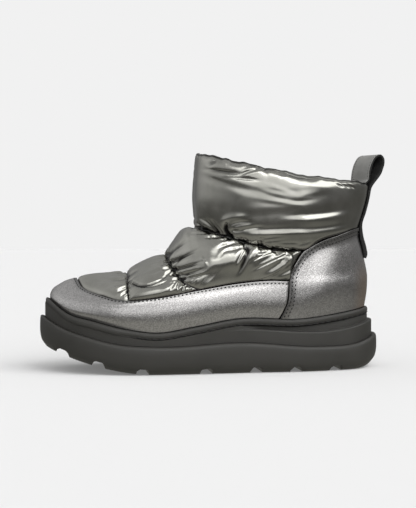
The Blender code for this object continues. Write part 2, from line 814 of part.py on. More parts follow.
def build_insole(leather):
    """The footbed, cut to the inside of the wall and following the top of the midsole."""
    margin = {side: leather[side][:1] for side in SIDES}
    feather = {side: leather[side][1:2] for side in SIDES}
    low, high = closed_rows(margin, inside_lining)[0], closed_rows(feather, inside_lining)[0]
    bm = bmesh.new()
    rows = []
    for lift, share in ((SEAT_GAP, 0.0), (INSOLE_THICKNESS, INSOLE_LEAN)):
        row = low + (high - low) * share
        row[:, 2] = midsole_top_z(row[:, 0]) + lift
        rows.append(row)
    walls = add_rows(bm, rows)
    add_skin(bm, walls, closed=True)
    for wall in walls:
        count = len(wall)
        for i in range(HEEL_COLUMN):
            add_quad(bm, (wall[i], wall[i + 1], wall[(-1 - i) % count], wall[-i % count]))
    return finish_object("insole", bm, "footbed_cloth")


def strap_stations():
    """Evenly spaced places along the strap: x, z, thickness and the direction out of its face."""
    table = np.array(STRAP_LINE)
    length = np.concatenate([[0], np.cumsum(np.linalg.norm(np.diff(table[:, :2], axis=0), axis=1))])
    even = np.linspace(0, length[-1], STRAP_STATIONS)
    x, z, thickness = (smooth(np.stack([length, column], axis=1), even) for column in table.T)
    dx, dz = np.gradient(x), np.gradient(z)
    size = np.hypot(dx, dz)
    return zip(x, z, thickness, -dz / size, dx / size)


def build_pull_loop():
    """A folded strap: sewn inside the collar, over in a loop, down the back and over the counter."""
    rows = []
    for x, z, thickness, out_x, out_z in strap_stations():
        share = float(ease((z - STRAP_TURN_FROM) / (STRAP_TURN_FULL - STRAP_TURN_FROM)))
        turn = STRAP_TURN * share
        row = []
        for face, places in ((-0.5, STRAP_ACROSS), (0.5, STRAP_ACROSS[::-1])):
            for place in places:
                across = place * STRAP_WIDTH / 2
                forward = face * thickness * out_x - STRAP_CUP * (1 - share) * across**2
                row.append(
                    (
                        x + forward * math.cos(turn) - across * math.sin(turn),
                        across * math.cos(turn) + forward * math.sin(turn),
                        z + face * thickness * out_z,
                    )
                )
        rows.append(row)
    bm = bmesh.new()
    rings = add_rows(bm, rows)
    add_skin(bm, rings, closed=True)
    for ring in (rings[0], rings[-1]):
        count = len(STRAP_ACROSS)
        add_skin(bm, [ring[:count], ring[: count - 1 : -1]], closed=False)
    return finish_object("pull_loop", bm, "strap_leather")


def clear_scene():
    for old in list(bpy.data.objects):
        bpy.data.objects.remove(old)


def main():
    clear_scene()
    boot = bpy.data.objects.new("boot", None)
    boot.location = FRAME_SHIFT
    bpy.context.scene.collection.objects.link(boot)
    leather = {side: leather_rows(side) for side in SIDES}
    quilt = {side: quilt_rows(side) for side in SIDES}
    build_outsole()
    build_midsole()
    build_welt(leather)
    build_insole(leather)
    build_upper(leather, quilt)
    build_leather_panel("mudguard", leather, 0, JUNCTION_COLUMN)
    build_leather_panel("heel_counter", leather, JUNCTION_COLUMN, HEEL_COLUMN)
    build_pull_loop()


main()
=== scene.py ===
"""Looks of a padded winter boot for the left foot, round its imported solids.

The toe points along -X, the outer side faces -Y and +Z is up, in metres. Soft pieces are bent from
fine grids over the same last as the solids: padded foil nylon, metallic leather, rubber and strap.
"""

import functools
import math
from collections import namedtuple

import bmesh
import bpy
import numpy as np
from mathutils import Matrix, Vector
from mathutils.bvhtree import BVHTree


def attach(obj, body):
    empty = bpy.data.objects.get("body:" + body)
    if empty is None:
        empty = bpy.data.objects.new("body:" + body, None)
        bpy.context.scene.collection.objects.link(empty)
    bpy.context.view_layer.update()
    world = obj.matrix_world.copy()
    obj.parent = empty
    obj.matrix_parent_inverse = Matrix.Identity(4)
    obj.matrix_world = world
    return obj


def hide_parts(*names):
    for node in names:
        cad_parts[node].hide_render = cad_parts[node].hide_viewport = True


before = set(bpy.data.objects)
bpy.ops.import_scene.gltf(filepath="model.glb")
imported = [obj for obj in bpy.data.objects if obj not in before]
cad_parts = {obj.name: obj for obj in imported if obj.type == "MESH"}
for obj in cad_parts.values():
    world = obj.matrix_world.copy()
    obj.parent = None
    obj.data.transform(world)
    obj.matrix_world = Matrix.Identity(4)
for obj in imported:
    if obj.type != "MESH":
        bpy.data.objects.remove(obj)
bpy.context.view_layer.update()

# Driving dimensions of the solids
SOLE_FRONT = -0.1420
SOLE_BACK = 0.1400
SOLE_HALF_WIDTH = 0.0530
BALL = -0.0470
GAP = 0.0003
SEAT_GAP = 0.0005
LEATHER = 0.0018
LINING = 0.0030
RIM_WALL = 0.0026
WELT_HEIGHT = 0.0050
WELT_THICKNESS = 0.0022
INSOLE_THICKNESS = 0.0045
INSOLE_LEAN = 0.8
FRAME_SHIFT = np.array((-0.0021, 0.0, 0.0))

# Shape of the foot in plan
TOE_SWING = 0.006
SWING_START = -0.040
SWING_LENGTH = 0.100
WAIST_PLACE = 0.026
WAIST_LENGTH = 0.046
OUTER_WAIST = 0.07
INNER_WAIST = 0.13
SOLE_NOSE = 2.3
SOLE_SEAT = 2.6
OUTER, INNER = -1, 1
SIDES = (OUTER, INNER)

# Heights of the sole along its length
Place = namedtuple("Place", "x z")


def rows_of(kind, *rows):
    """Rows of values under the names of their columns."""
    return [kind(*row) for row in rows]


FEATHER_LINE = rows_of(
    Place,
    (-0.1338, 0.0580), (-0.1228, 0.0492), (-0.1000, 0.0420), (-0.0750, 0.0358), (-0.0500, 0.0326),
    (-0.0200, 0.0370), (0.0150, 0.0430), (0.0700, 0.0424), (0.0950, 0.0452), (0.1300, 0.0505),
)
OUTSOLE_TOP = rows_of(
    Place,
    (-0.1420, 0.0460), (-0.1260, 0.0369), (-0.1070, 0.0303), (-0.0840, 0.0246), (-0.0500, 0.0220),
    (0.0200, 0.0244), (0.0810, 0.0202), (0.1190, 0.0220), (0.1400, 0.0290),
)
MIDSOLE_STEP = rows_of(
    Place,
    (-0.1380, 0.0490), (-0.1070, 0.0350), (-0.0500, 0.0252), (0.0220, 0.0350), (0.0660, 0.0325),
    (0.0870, 0.0321), (0.1090, 0.0344), (0.1360, 0.0405),
)
TOE_ROCKER_START = -0.056
TOE_ROCKER_RISE = 0.0220
TOE_ROCKER_POWER = 1.7
HEEL_ROCKER_START = 0.114
HEEL_ROCKER_RISE = 0.0075

# Rings of the last, from the lasting margin up to the rim
Ring = namedtuple(
    "Ring", "name rise front_x front_z back_x back_z half_width widest nose seat dip sag"
)
RINGS = (
    Ring("margin", 0.00, -0.1332, 0, 0.1291, 0, 0.0449, -0.048, 2.30, 2.60, 0, 0),
    Ring("feather", 0.00, -0.1338, 0, 0.1297, 0, 0.0455, -0.048, 2.30, 2.60, 0, 0),
    Ring("rand", 0.35, -0.1326, 0, 0.1313, 0, 0.0474, -0.048, 2.30, 2.55, 0, 0),
    Ring("shoulder", 0.70, -0.1270, 0, 0.1314, 0, 0.0474, -0.048, 2.25, 2.50, 0, 0),
    Ring("edge", 1.00, -0.1115, 0.0756, 0.1308, 0.081, 0.0460, -0.046, 2.20, 2.50, 0.0173, 0),
    Ring("vamp", 1.00, -0.0705, 0.0795, 0.1266, 0.099, 0.0430, 0.010, 2.00, 2.50, 0.0060, 0),
    Ring("instep", 1.00, -0.0382, 0.0940, 0.1240, 0.110, 0.0420, 0.030, 2.00, 2.50, 0.0030, 0),
    Ring("ankle", 1.00, -0.0178, 0.1170, 0.1246, 0.119, 0.0415, 0.050, 2.15, 2.50, 0, 0),
    Ring("shaft", 1.00, -0.0152, 0.1450, 0.1294, 0.138, 0.0415, 0.054, 2.10, 2.50, 0, 0.002),
    Ring("rim", 1.00, -0.0120, 0.1762, 0.1312, 0.152, 0.0410, 0.058, 2.10, 2.50, 0, 0.0045),
)
FEATHER_LEVEL = 1.0
EDGE_LEVEL = 4
ANKLE_LEVEL = 7
TOP_LEVEL = len(RINGS) - 1.0
RING_STEPS = 481
JUNCTION_ALONG = 0.65
DIP_PEAK = 0.167
DIP_POWERS = (0.5, 2.5)
NORMAL_STEP_ALONG, NORMAL_STEP_UP = 0.004, 0.02
LINE_SAMPLES = 600

# Panel edges and quilting seams, as lines in side view
MUDGUARD_EDGE = rows_of(
    Place,
    (-0.1115, 0.0756), (-0.1091, 0.0704), (-0.1058, 0.0674), (-0.1010, 0.0652), (-0.0924, 0.0624),
    (-0.0830, 0.0600), (-0.0738, 0.0590), (-0.0550, 0.0602), (-0.0160, 0.0668), (0.0150, 0.0718),
    (0.0470, 0.0740), (0.0582, 0.0734),
)
COUNTER_EDGE = rows_of(
    Place,
    (0.0490, 0.0410), (0.0538, 0.0508), (0.0571, 0.0621), (0.0582, 0.0734), (0.0598, 0.0807),
    (0.0635, 0.0880), (0.0687, 0.0961), (0.0764, 0.1014), (0.0852, 0.1058), (0.0990, 0.1102),
    (0.1148, 0.1152), (0.1300, 0.1185),
)
COLLAR_SEAM = rows_of(
    Place,
    (-0.0181, 0.1172), (-0.0109, 0.1153), (0.0027, 0.1106), (0.0157, 0.1065), (0.0308, 0.1024),
    (0.0432, 0.0995), (0.0559, 0.0982), (0.0690, 0.0975),
)
INSTEP_SEAM = rows_of(
    Place,
    (-0.0100, 0.0660), (-0.0165, 0.0675), (-0.0240, 0.0702), (-0.0305, 0.0745), (-0.0346, 0.0802),
    (-0.0366, 0.0863), (-0.0384, 0.0955),
)
VAMP_SEAM = rows_of(
    Place,
    (-0.0722, 0.0580), (-0.0724, 0.0660), (-0.0717, 0.0720), (-0.0702, 0.0820),
)
JUNCTION_X = MUDGUARD_EDGE[-1].x
BEYOND_APEX_SLOPE = 2.0
SEAM_JOIN = 0.001

# Fine grid of the wall: columns of each stretch from toe to heel, rows of each stretch from sole to rim
WALL_COLUMNS = (60, 58, 78, 76)
HIDDEN_ROWS = 3
RIM_ROWS = 6
RIM_CLOTH_ROWS = 2
LINING_ROWS = 16
Puff = namedtuple("Puff", "name rows swell full_length start_sink end_sink peak roundness")
PUFFS = (
    Puff("toe", 28, 0.0042, 0.022, -0.0021, -0.0012, 0.50, 2.2),
    Puff("vamp", 36, 0.0068, 0.024, -0.0012, -0.0014, 0.50, 2.1),
    Puff("instep", 60, 0.0090, 0.036, -0.0014, -0.0016, 0.66, 2.0),
    Puff("collar", 88, 0.0088, 0.020, -0.0034, 0.0010, 0.36, 2.4),
)
COLLAR_BACK_FLATTENING = 0.90
COLLAR_BACK_START = 0.68
COLLAR_BACK_LENGTH = 0.26
COLLAR_FRONT_SWELL = 0.12
COLLAR_FRONT_END = 0.22
RIM_ROLL = 0.0022
# Painted shade on the last row of quilting and on the rim's cloth rows
RIM_SHADE = (0.45, 0.80)
RimWave = namedtuple("RimWave", "pitch height phase")
RIM_WAVES = (RimWave(0.031, 0.00040, 0.6), RimWave(0.0127, 0.00025, 2.1), RimWave(0.0071, 0.00010, 4.0))
RIM_WAVE_ROWS = 14
RIM_WAVE_INSIDE_ROWS = 3
FREE_LENGTH = 0.010
COVER_LENGTH = 0.008
TUCK_LENGTH = 0.008
TUCK_SINK = -0.0004
MERGE = 1e-5
TINY = 1e-12

# Main creases in side view, in millimetres. A face turns to the left of its way by degrees, and a sewn
# crease starts at a seam.
MM = 0.001
Crease = namedtuple("Crease", "start middle end width height turn sewn", defaults=(0.0, False))
COLLAR_CREASES = rows_of(
    Crease,
    ((-8, 166.5), (-3, 169.5), (4.5, 173), 1.6, -1.4),
    ((4, 170), (8, 171), (12, 171.5), 2, 0.7),
    ((-15, 164.8), (4.5, 162), (22, 159), 1.6, -1.5),
    ((0, 159.5), (9.5, 158), (20, 157.3), 1.1, 0.5),
    ((16, 161.5), (25.5, 164.2), (38, 165.7), 1.6, 0, 20),
    ((17, 159), (26, 162.7), (40, 165.2), 1, -0.9),
    ((14, 155.5), (23.5, 160), (39, 163.2), 1.4, 0, 20),
    ((2.5, 158), (19.5, 156.2), (39, 154), 1.2, -0.8),
    ((-16.5, 164.5), (5, 154.5), (46, 143.5), 3.5, 0, -11),
    ((-15, 158), (5.5, 149.5), (40, 140.5), 3.5, 0, 6),
    ((12, 128), (44.5, 130.5), (86, 135.5), 4, 0, -5),
    ((46, 156.4), (74, 152.6), (102, 151.3), 4, 0, 15),
    ((40, 161.4), (63, 158.2), (86, 155.2), 1.5, -1.3),
    ((96, 154.5), (99, 151.5), (104, 149), 0.8, -0.9),
    ((101, 154), (104.5, 151), (110, 148.5), 0.8, -0.9),
    ((106, 153.5), (110, 150.5), (115, 148.5), 0.8, -0.8),
    ((34, 154.6), (50.5, 148.2), (68, 141.6), 2.4, 0, 6),
    ((26, 149), (42.5, 143.5), (61.5, 139), 2.4, 0, -6),
    ((34, 141.2), (52.5, 137.9), (76, 135), 2.2, 0, 8),
    ((94, 146), (74, 142.4), (54, 138.4), 3, 0, 9),
    ((18, 152), (46, 147.5), (74, 146), 2.6, 0, -5),
    ((22, 141), (44, 136.8), (62, 138), 2.4, 0, -4),
    ((56, 138.2), (70, 139.2), (86, 141), 1.8, 0, -8),
    ((46, 124.3), (68, 125), (92, 126.8), 2.8, 0, 13),
    ((60, 124.8), (86, 126.4), (117, 132), 4.2, 0, 24),
    ((15, 112.8), (40, 113.2), (80, 115), 3.4, 0, 24),
    ((56, 113.6), (86, 115.2), (118, 120.6), 3, 0, 24),
    ((30, 107), (39.5, 108.5), (55, 110.5), 1, -0.6),
    ((24.5, 104.5), (39.5, 105.5), (58.5, 107.5), 0.9, -0.5),
    ((46, 104), (57, 104.3), (69, 104), 0.9, -0.6),
    ((62.5, 102), (69, 103.5), (78, 106.7), 1.1, -0.8),
    ((11.5, 108), (6, 115.5), (9.5, 122), 1.7, -2.4, 0, True),
    ((9.5, 115.5), (14, 114), (20.5, 114.8), 1.2, -1),
    ((9.5, 117.5), (15.5, 120.8), (30, 121.3), 1, -0.7),
    ((10.5, 115), (18, 118.5), (30.5, 119.3), 1.3, 0, 22),
    ((16, 113.5), (25, 116), (38.5, 118), 1.1, -0.7),
    ((2.5, 118.5), (9.5, 124.5), (28, 125.4), 2.2, 0.7),
    ((-4, 112.3), (-12.5, 116), (-19, 118), 1, -1.2, 0, True),
    ((1.5, 111), (-6, 119), (-13.5, 126), 0.9, -1.2, 0, True),
    ((2.5, 111.5), (-3.5, 118.5), (-10, 126.5), 0.8, -1.1, 0, True),
    ((-5.5, 113.5), (-11, 117.6), (-15, 121.8), 0.8, -1, 0, True),
    ((4.5, 111), (-0.5, 118), (-6.5, 125), 0.9, -0.9, 0, True),
)
INSTEP_CREASES = rows_of(
    Crease,
    ((-22.5, 111.8), (-12.5, 112), (-0.5, 112.8), 0.9, -1),
    ((-13, 110.4), (-5, 110.6), (3, 110.3), 1.6, 0.4),
    ((-15.5, 108.8), (-3, 109), (11, 110.2), 1, -1.1),
    ((-4.5, 106.8), (5, 107.7), (13, 109), 0.9, 0.6),
    ((-1.5, 106), (8, 107.3), (17.5, 109), 0.8, -0.9),
    ((18, 106.2), (6, 104.7), (-4.5, 97.5), 2.6, 0, 18, True),
    ((4, 104), (-4.5, 95.5), (3, 85), 5, 0, 8),
    ((22, 104.6), (8, 103.3), (-2, 99), 1.3, -0.9, 0, True),
    ((24.5, 104), (6.5, 100), (-2.5, 89), 1.5, 0, 18, True),
    ((23.7, 102.5), (13.6, 99.5), (1, 97.4), 1.3, -0.9, 0, True),
    ((21, 102.6), (16, 97), (10, 88.5), 1.5, 0, 14, True),
    ((22, 101.5), (16.3, 93.2), (12, 84.8), 1, -0.8, 0, True),
    ((23, 102.2), (19.5, 96.3), (14.2, 86), 1.3, 0, 14, True),
    ((24, 102), (20, 90), (12, 74.5), 2, -1.8, 0, True),
    ((33, 101.5), (26, 96.3), (20.5, 87.5), 2.8, 0.8, 0, True),
    ((30, 96.5), (33, 100), (41.5, 100.4), 0.8, -0.7),
    ((30, 95.5), (36, 96.3), (43, 99.2), 0.8, -0.7),
    ((46, 98.5), (34.3, 94), (22, 87.2), 0.9, -0.8, 0, True),
    ((54.5, 98), (41, 90.5), (25, 84), 3.2, 0, -22, True),
    ((56.5, 95.8), (39, 88), (23, 80), 0.9, -0.8, 0, True),
    ((58.5, 95.5), (47, 84.5), (30.5, 76), 3.4, 0, -26, True),
    ((60.5, 90.5), (47, 80), (31, 74), 0.9, -0.8, 0, True),
    ((61.5, 83), (52.5, 78.6), (42, 75), 2.6, 0, -29, True),
    ((-39, 90.5), (-33.5, 99), (-20, 108.5), 1.2, -1.6, 0, True),
    ((-38.5, 86.8), (-28.3, 93.3), (-11, 101), 1.2, -1.6, 0, True),
    ((-37, 82), (-26, 85.5), (-8, 91), 1.2, -1.6, 0, True),
    ((-35, 78), (-25, 80), (-8, 85.4), 1.1, -1.4, 0, True),
    ((-33, 75.8), (-22, 77), (-6, 80.8), 1, -1.2, 0, True),
    ((-37.5, 89), (-31, 96), (-19.5, 103), 1.6, 0.5, 0, True),
    ((-37, 84.6), (-27.3, 89.4), (-14, 94), 1.6, 0.6, 0, True),
    ((-35.5, 80), (-25.5, 82.8), (-13, 86.8), 1.4, 0.6, 0, True),
    ((-14.5, 93.8), (-12.2, 90), (-9.2, 85.2), 1, 0.7),
    ((-30, 78), (2, 84), (36, 86), 8.5, 0, -15),
)
VAMP_CREASES = rows_of(
    Crease,
    ((-71, 76), (-67, 80), (-60, 84.2), 1.1, -1.2, 0, True),
    ((-72, 73.6), (-56, 71.7), (-36.5, 82.2), 0.7, -1.9, 0, True),
    ((-70, 72.9), (-56, 69.9), (-36, 77.5), 0.6, -1.4, 0, True),
    ((-57, 79.1), (-49, 81.4), (-41, 85), 1, -0.5),
    ((-68, 77.6), (-59, 82.7), (-47.5, 87.5), 1.3, -0.4),
    ((-39, 91.6), (-44.2, 89), (-48.5, 88), 0.9, 0.8, 0, True),
    ((-37.5, 87.2), (-42.7, 85.2), (-47, 82.8), 0.9, 0.8, 0, True),
    ((-36, 82.6), (-41, 81.8), (-45, 80.2), 0.9, 0.8, 0, True),
    ((-35.5, 80.8), (-39.6, 78.7), (-43.5, 75.8), 0.9, 0.8, 0, True),
    ((-38, 89.2), (-43, 87.2), (-47.5, 85.8), 0.7, -0.7, 0, True),
    ((-36.5, 85), (-41.5, 83.5), (-45.5, 81.8), 0.7, -0.7, 0, True),
    ((-35.8, 81.7), (-40, 80.3), (-43.5, 78.2), 0.7, -0.7, 0, True),
    ((-50, 69), (-38, 70), (-24, 68), 5, 0, 14),
    ((-35.5, 77), (-40.5, 72.5), (-44.5, 67.5), 1.2, 0.4, 16, True),
    ((-33.5, 75.5), (-37.5, 71), (-41, 65.5), 0.7, -0.8, 0, True),
    ((-32.5, 75), (-35.5, 70.5), (-38, 64), 1.2, 0.4, 18, True),
    ((-31, 74), (-33.5, 69.5), (-35.5, 63), 0.7, -0.8, 0, True),
    ((-30, 73.5), (-31.5, 69), (-33, 63.5), 1.1, 0.4, 18, True),
    ((-28, 72), (-29.5, 68.5), (-30.5, 63.5), 0.6, -0.8, 0, True),
    ((-27, 71.5), (-27.8, 68), (-28.5, 64), 0.9, 0.4, 18, True),
    ((-24.5, 69.8), (-25, 67.5), (-25.5, 65), 0.5, -0.6, 0, True),
    ((-22, 69.2), (-19, 67.8), (-15.5, 67.2), 0.9, 0.4),
)
TOE_CREASES = rows_of(
    Crease,
    ((-71.6, 73.4), (-81.2, 72), (-92, 71.5), 1, 1, 0, True),
    ((-71.6, 69.7), (-78.5, 68.8), (-86.7, 66.4), 1.2, 1.3, 0, True),
    ((-71.8, 67), (-76.8, 64.5), (-81.8, 60.6), 1.3, 1.4, 0, True),
    ((-71.8, 63.8), (-74.7, 62.3), (-77.8, 60.1), 1, 1.2, 0, True),
    ((-71.6, 74.9), (-79, 74.2), (-87, 73.6), 0.6, -0.9, 0, True),
    ((-71.6, 71.4), (-78, 70.6), (-85, 69.6), 0.6, -0.9, 0, True),
    ((-71.8, 68.4), (-77, 66.7), (-83, 63.8), 0.6, -0.9, 0, True),
    ((-71.8, 65.4), (-75, 63.6), (-79, 61), 0.6, -0.9, 0, True),
    ((-71, 76.2), (-79, 75.9), (-87.5, 75.3), 0.9, 0.8, 0, True),
    ((-70.8, 77.8), (-76, 77.9), (-82, 77.4), 0.8, 0.6, 0, True),
)
CREASES = COLLAR_CREASES + INSTEP_CREASES + VAMP_CREASES + TOE_CREASES
CREASE_SAMPLES = 10
CREASE_TAPER = 0.42
CREASE_SEWN_TAPER = 0.06
CREASE_REACH = 4.0
INNER_CREASES = 0.8
INNER_SHIFT = Place(0.004, -0.002)

# Small gathers at the start and end seam of each puff, drawn as folds of three sizes
Gather = namedtuple("Gather", "pitch height reach lean seed")
NO_GATHER = Gather(0.0040, 0.0, 0.004, 0.0, 0.0)
GATHERS = {
    "toe": (NO_GATHER, Gather(0.0030, 0.00050, 0.0060, 0.2, 1.0)),
    "vamp": (Gather(0.0042, 0.00045, 0.0050, 0.2, 2.3), Gather(0.0034, 0.00070, 0.0055, -0.2, 3.1)),
    "instep": (Gather(0.0044, 0.00065, 0.0060, -0.2, 3.9), Gather(0.0040, 0.00042, 0.0055, 0.9, 4.9)),
    "collar": (Gather(0.0046, 0.00070, 0.0022, -0.5, 5.2), Gather(0.0062, 0.00014, 0.0045, 0.3, 6.1)),
}
Fold = namedtuple("Fold", "pitch height reach beat")
GATHER_FOLDS = (Fold(1.0, 1.0, 0.7, 2.3), Fold(1.83, 1.3, 1.1, 1.7), Fold(3.7, 1.7, 1.9, 1.1))
GATHER_DRIFT, GATHER_BEAT, GATHER_UNEVEN = 0.22, 1.3, 0.75
SEAM_HOLD = 0.0008
# Reach of the painted shade along each seam, and the trough depth that is painted fully dark
SEAM_SHADE = 0.0008
SHADED_DEPTH = 0.0022

# Cloth that swells and gathers between the seams
CLOTH_FRAMES = 16
CLOTH_SETTINGS = {
    "vertex_group_mass": "held",
    "mass": 0.02,
    "quality": 6,
    "tension_stiffness": 20,
    "compression_stiffness": 8,
    "shear_stiffness": 6,
    "bending_stiffness": 0.02,
    "shrink_min": -0.03,
    "use_pressure": True,
    "uniform_pressure_force": 4.0,
}
CLOTH_CAP = 0.0016

# Leather panels
Panel = namedtuple("Panel", "node name columns rows hem at_heel")
# A panel's hem is how far the painted shade reaches from its sewn edge
MUDGUARD = Panel("mudguard", "leather_mudguard", (44, 30, 36, 0), 26, 0.0036, False)
COUNTER = Panel("heel_counter", "leather_counter", (0, 0, 0, 46), 44, 0.0070, True)
PANEL_END_SHARE = 0.004
PANEL_TOP_DROP = 0.01
EDGE_BEVEL = 0.0005
CUT_EDGE_ANGLE = math.radians(60)
COUNTER_LIP = 0.0008
# Painted shade along the leather's sewn edges, and a thin painted shadow line right at the edge
HEM_POWER = 4
HEM_DARKNESS = 0.45
HEM_EDGE = 0.0008
COUNTER_LIP_REACH = 0.0050
COUNTER_LEAN = 0.0060
COUNTER_SWELL = 0.0026
COUNTER_SWELL_MIDDLE = (0.54, 0.44)
COUNTER_SWELL_SIZE = (0.38, 0.36)
MUDGUARD_SWELL = 0.0010
MUDGUARD_SWELL_MIDDLE = 0.28
TOE_SWELL = 0.0011
TOE_SWELL_POWER = 1.6
TOE_SWELL_LENGTH = 0.11

# Sole pieces
SOLE_STATIONS = 150
PLAN_SAMPLES = 40 * SOLE_STATIONS
LEAST_SPACING = 0.3
SOLE_SHARP = 38
SOLE_PLAN_HALF = 0.047
Step = namedtuple("Step", "inset share")
OUTSOLE_WALL = rows_of(
    Step,
    (0.0056, 0.00), (0.0046, 0.01), (0.0018, 0.13), (0.0011, 0.18), (0.0004, 0.30), (0.0000, 0.45),
    (0.0000, 0.70), (0.0002, 0.86), (0.0006, 0.94), (0.0014, 0.985), (0.0026, 1.00),
)
MIDSOLE_INSET = 0.0042
MIDSOLE_STEP_DEPTH = 0.0036
MIDSOLE_STEP_START = 0.010
MIDSOLE_STEP_LENGTH = 0.030
MIDSOLE_ROUNDING = 0.0010
Tier = namedtuple("Tier", "line depth inset lift")
MIDSOLE_WALL = rows_of(
    Tier,
    ("bottom", 0, 0, 0), ("step", 0, 0, -1.6), ("step", 0, 0.15, -0.6), ("step", 0, 0.5, -0.2),
    ("step", 0, 1.2, 0), ("step", 1, -0.4, 0.1), ("step", 1, 0, 0.5),
    ("top", 1, 0, -1), ("top", 1, 0.3, -0.3), ("top", 1, 1, 0),
)
MIDSOLE_LEAST_TIER = 0.0020
CROSS_STEPS = 24
LUG_DEPTH = 0.0045
LUG_GAP_BOTTOM = 0.0105
LUG_GAP_TOP = 0.0070
LUG_GAPS = (-0.1240, -0.0961, -0.0618, -0.0108, 0.0303, 0.0637, 0.0974)
SIPE_WIDTH = 0.0016
SIPE_DEPTH = 0.0016
SIPES_PER_LUG = 3
SIPE_REACH = 0.030
CENTRE_GROOVE_WIDTH = 0.009
CENTRE_GROOVE_ENDS = (-0.098, 0.101)
Welt = namedtuple("Welt", "width toe_width rise")
WELT_WALL = rows_of(
    Welt,
    (0.00, 0.00, 0.00), (0.90, 1.40, 0.00), (0.80, 1.42, 0.03), (0.80, 1.44, 0.11),
    (0.86, 1.45, 0.15), (1.00, 1.46, 0.20), (1.06, 1.46, 0.30), (1.12, 1.42, 0.50),
    (1.08, 1.30, 0.66), (0.95, 1.10, 0.82), (0.72, 0.80, 0.94), (0.42, 0.42, 1.00),
    (0.00, 0.00, 1.00),
)
WELT_LINE = Welt(0.98, 0.98, 0.08)
WELT_GROOVE_START = -0.066
WELT_GROOVE_FADE = 0.020
WELT_TOE_DROP = 0.00045
Layer = namedtuple("Layer", "share lift draw")
FOOTBED_WALL = rows_of(
    Layer,
    (0.0, SEAT_GAP, 1.0),
    (0.5, 0.6 * INSOLE_THICKNESS, 1.0),
    (INSOLE_LEAN, 0.9 * INSOLE_THICKNESS, 0.995),
    (INSOLE_LEAN, INSOLE_THICKNESS, 0.975),
)

# Pull loop: its middle line in side view, and its turn towards the outer side
Strap = namedtuple("Strap", "x z thickness")
STRAP_WIDTH = 0.0220
STRAP_LINE = rows_of(
    Strap,
    (0.1239, 0.1400, 0.0018), (0.1262, 0.1490, 0.0018), (0.1273, 0.1550, 0.0018),
    (0.1288, 0.1660, 0.0018), (0.1310, 0.1722, 0.0018), (0.1342, 0.1764, 0.0018),
    (0.1374, 0.1775, 0.0018), (0.1398, 0.1752, 0.0018), (0.1402, 0.1712, 0.0018),
    (0.1386, 0.1655, 0.0018), (0.1364, 0.1590, 0.0018), (0.1345, 0.1510, 0.0020),
    (0.1324, 0.1400, 0.0020), (0.1298, 0.1300, 0.0020), (0.1265, 0.1195, 0.0022),
    (0.1270, 0.1095, 0.0030), (0.1296, 0.0990, 0.0034), (0.1304, 0.0935, 0.0030),
    (0.1302, 0.0910, 0.0014),
)
STRAP_STATIONS = 150
STRAP_STEPS = 12
STRAP_CORNER = 0.985
STRAP_EDGE = (0.3, 0.0, -0.3)
STRAP_CUP = 9.0
STRAP_TURN = math.radians(28)
STRAP_FRONT_TURN = (0.1510, 0.1575)
STRAP_BACK_TURN = (0.1490, 0.1640)

# Threads: length, width and pitch of a stitch, and its distance from the edge
Thread = namedtuple("Thread", "length width pitch inset")
MUDGUARD_THREAD = Thread(0.0019, 0.00130, 0.0032, 0.0024)
COUNTER_THREADS = (Thread(0.0019, 0.00130, 0.0032, 0.0026), Thread(0.0019, 0.00130, 0.0032, 0.0054))
WELT_THREAD = Thread(0.0046, 0.00120, 0.0058, 0.0)
WELT_THREAD_START = -0.0690
STRAP_THREAD = Thread(0.0016, 0.00045, 0.0024, 0.0018)
STITCH_SEGMENTS = (6, 4)
STITCH_RISE = 0.3
STITCH_CLEARANCE = 0.001
COUNTER_LINE_SAMPLES = 200
BESIDE_BOOT = 0.2

# Camera, as the photograph's, for a picture of this many pixels
PICTURE_HEIGHT = 508
CAMERA_AZIMUTH = math.radians(-8)
CAMERA_DISTANCE = 1.0
CAMERA_HEIGHT = 0.115
CAMERA_TARGET = Vector((-0.0051, 0.0, 0.0947))
FOCAL_PIXELS = 1198
SENSOR = 36.0


def smooth(table, at):
    """Cubic curve through a table of (place, value) rows, straight beyond its ends."""
    place, value = np.array(table, float).T
    slope = np.gradient(value, place)
    at = np.asarray(at, float)
    inside = np.clip(at, place[0], place[-1])
    span = np.clip(np.searchsorted(place, inside, side="right") - 1, 0, len(place) - 2)
    width = place[span + 1] - place[span]
    t = (inside - place[span]) / width
    curve = (
        (1 + 2 * t) * (1 - t) ** 2 * value[span]
        + t * (1 - t) ** 2 * width * slope[span]
        + t**2 * (3 - 2 * t) * value[span + 1]
        - t**2 * (1 - t) * width * slope[span + 1]
    )
    end_slope = np.where(at < place[0], slope[0], slope[-1])
    return curve + (at - inside) * end_slope


def ease(value):
    """Smooth step from 0 to 1."""
    t = np.clip(value, 0, 1)
    return t * t * (3 - 2 * t)


def unit(vectors):
    return vectors / np.linalg.norm(vectors, axis=-1, keepdims=True)


def feather_z(x):
    return smooth(FEATHER_LINE, x)


def midsole_top_z(x):
    return feather_z(x) - WELT_HEIGHT - SEAT_GAP


def outsole_top_z(x):
    return smooth(OUTSOLE_TOP, x)


def bottom_z(x):
    """Underside of the sole: flat from ball to heel, rockered up at both ends."""
    toe = np.clip((TOE_ROCKER_START - x) / (TOE_ROCKER_START - SOLE_FRONT), 0, None)
    heel = np.clip((x - HEEL_ROCKER_START) / (SOLE_BACK - HEEL_ROCKER_START), 0, None)
    return TOE_ROCKER_RISE * toe**TOE_ROCKER_POWER + HEEL_ROCKER_RISE * heel**2


def foot_side(side, x, half):
    """Y of the foot's side where a plain oval has this half width: waist drawn in, toe swung inwards."""
    depth = OUTER_WAIST if side == OUTER else INNER_WAIST
    waist = 1 - depth * np.exp(-(((x - WAIST_PLACE) / WAIST_LENGTH) ** 2))
    swing = TOE_SWING * np.clip((SWING_START - x) / SWING_LENGTH, 0, None) ** 2
    return side * half * waist + swing


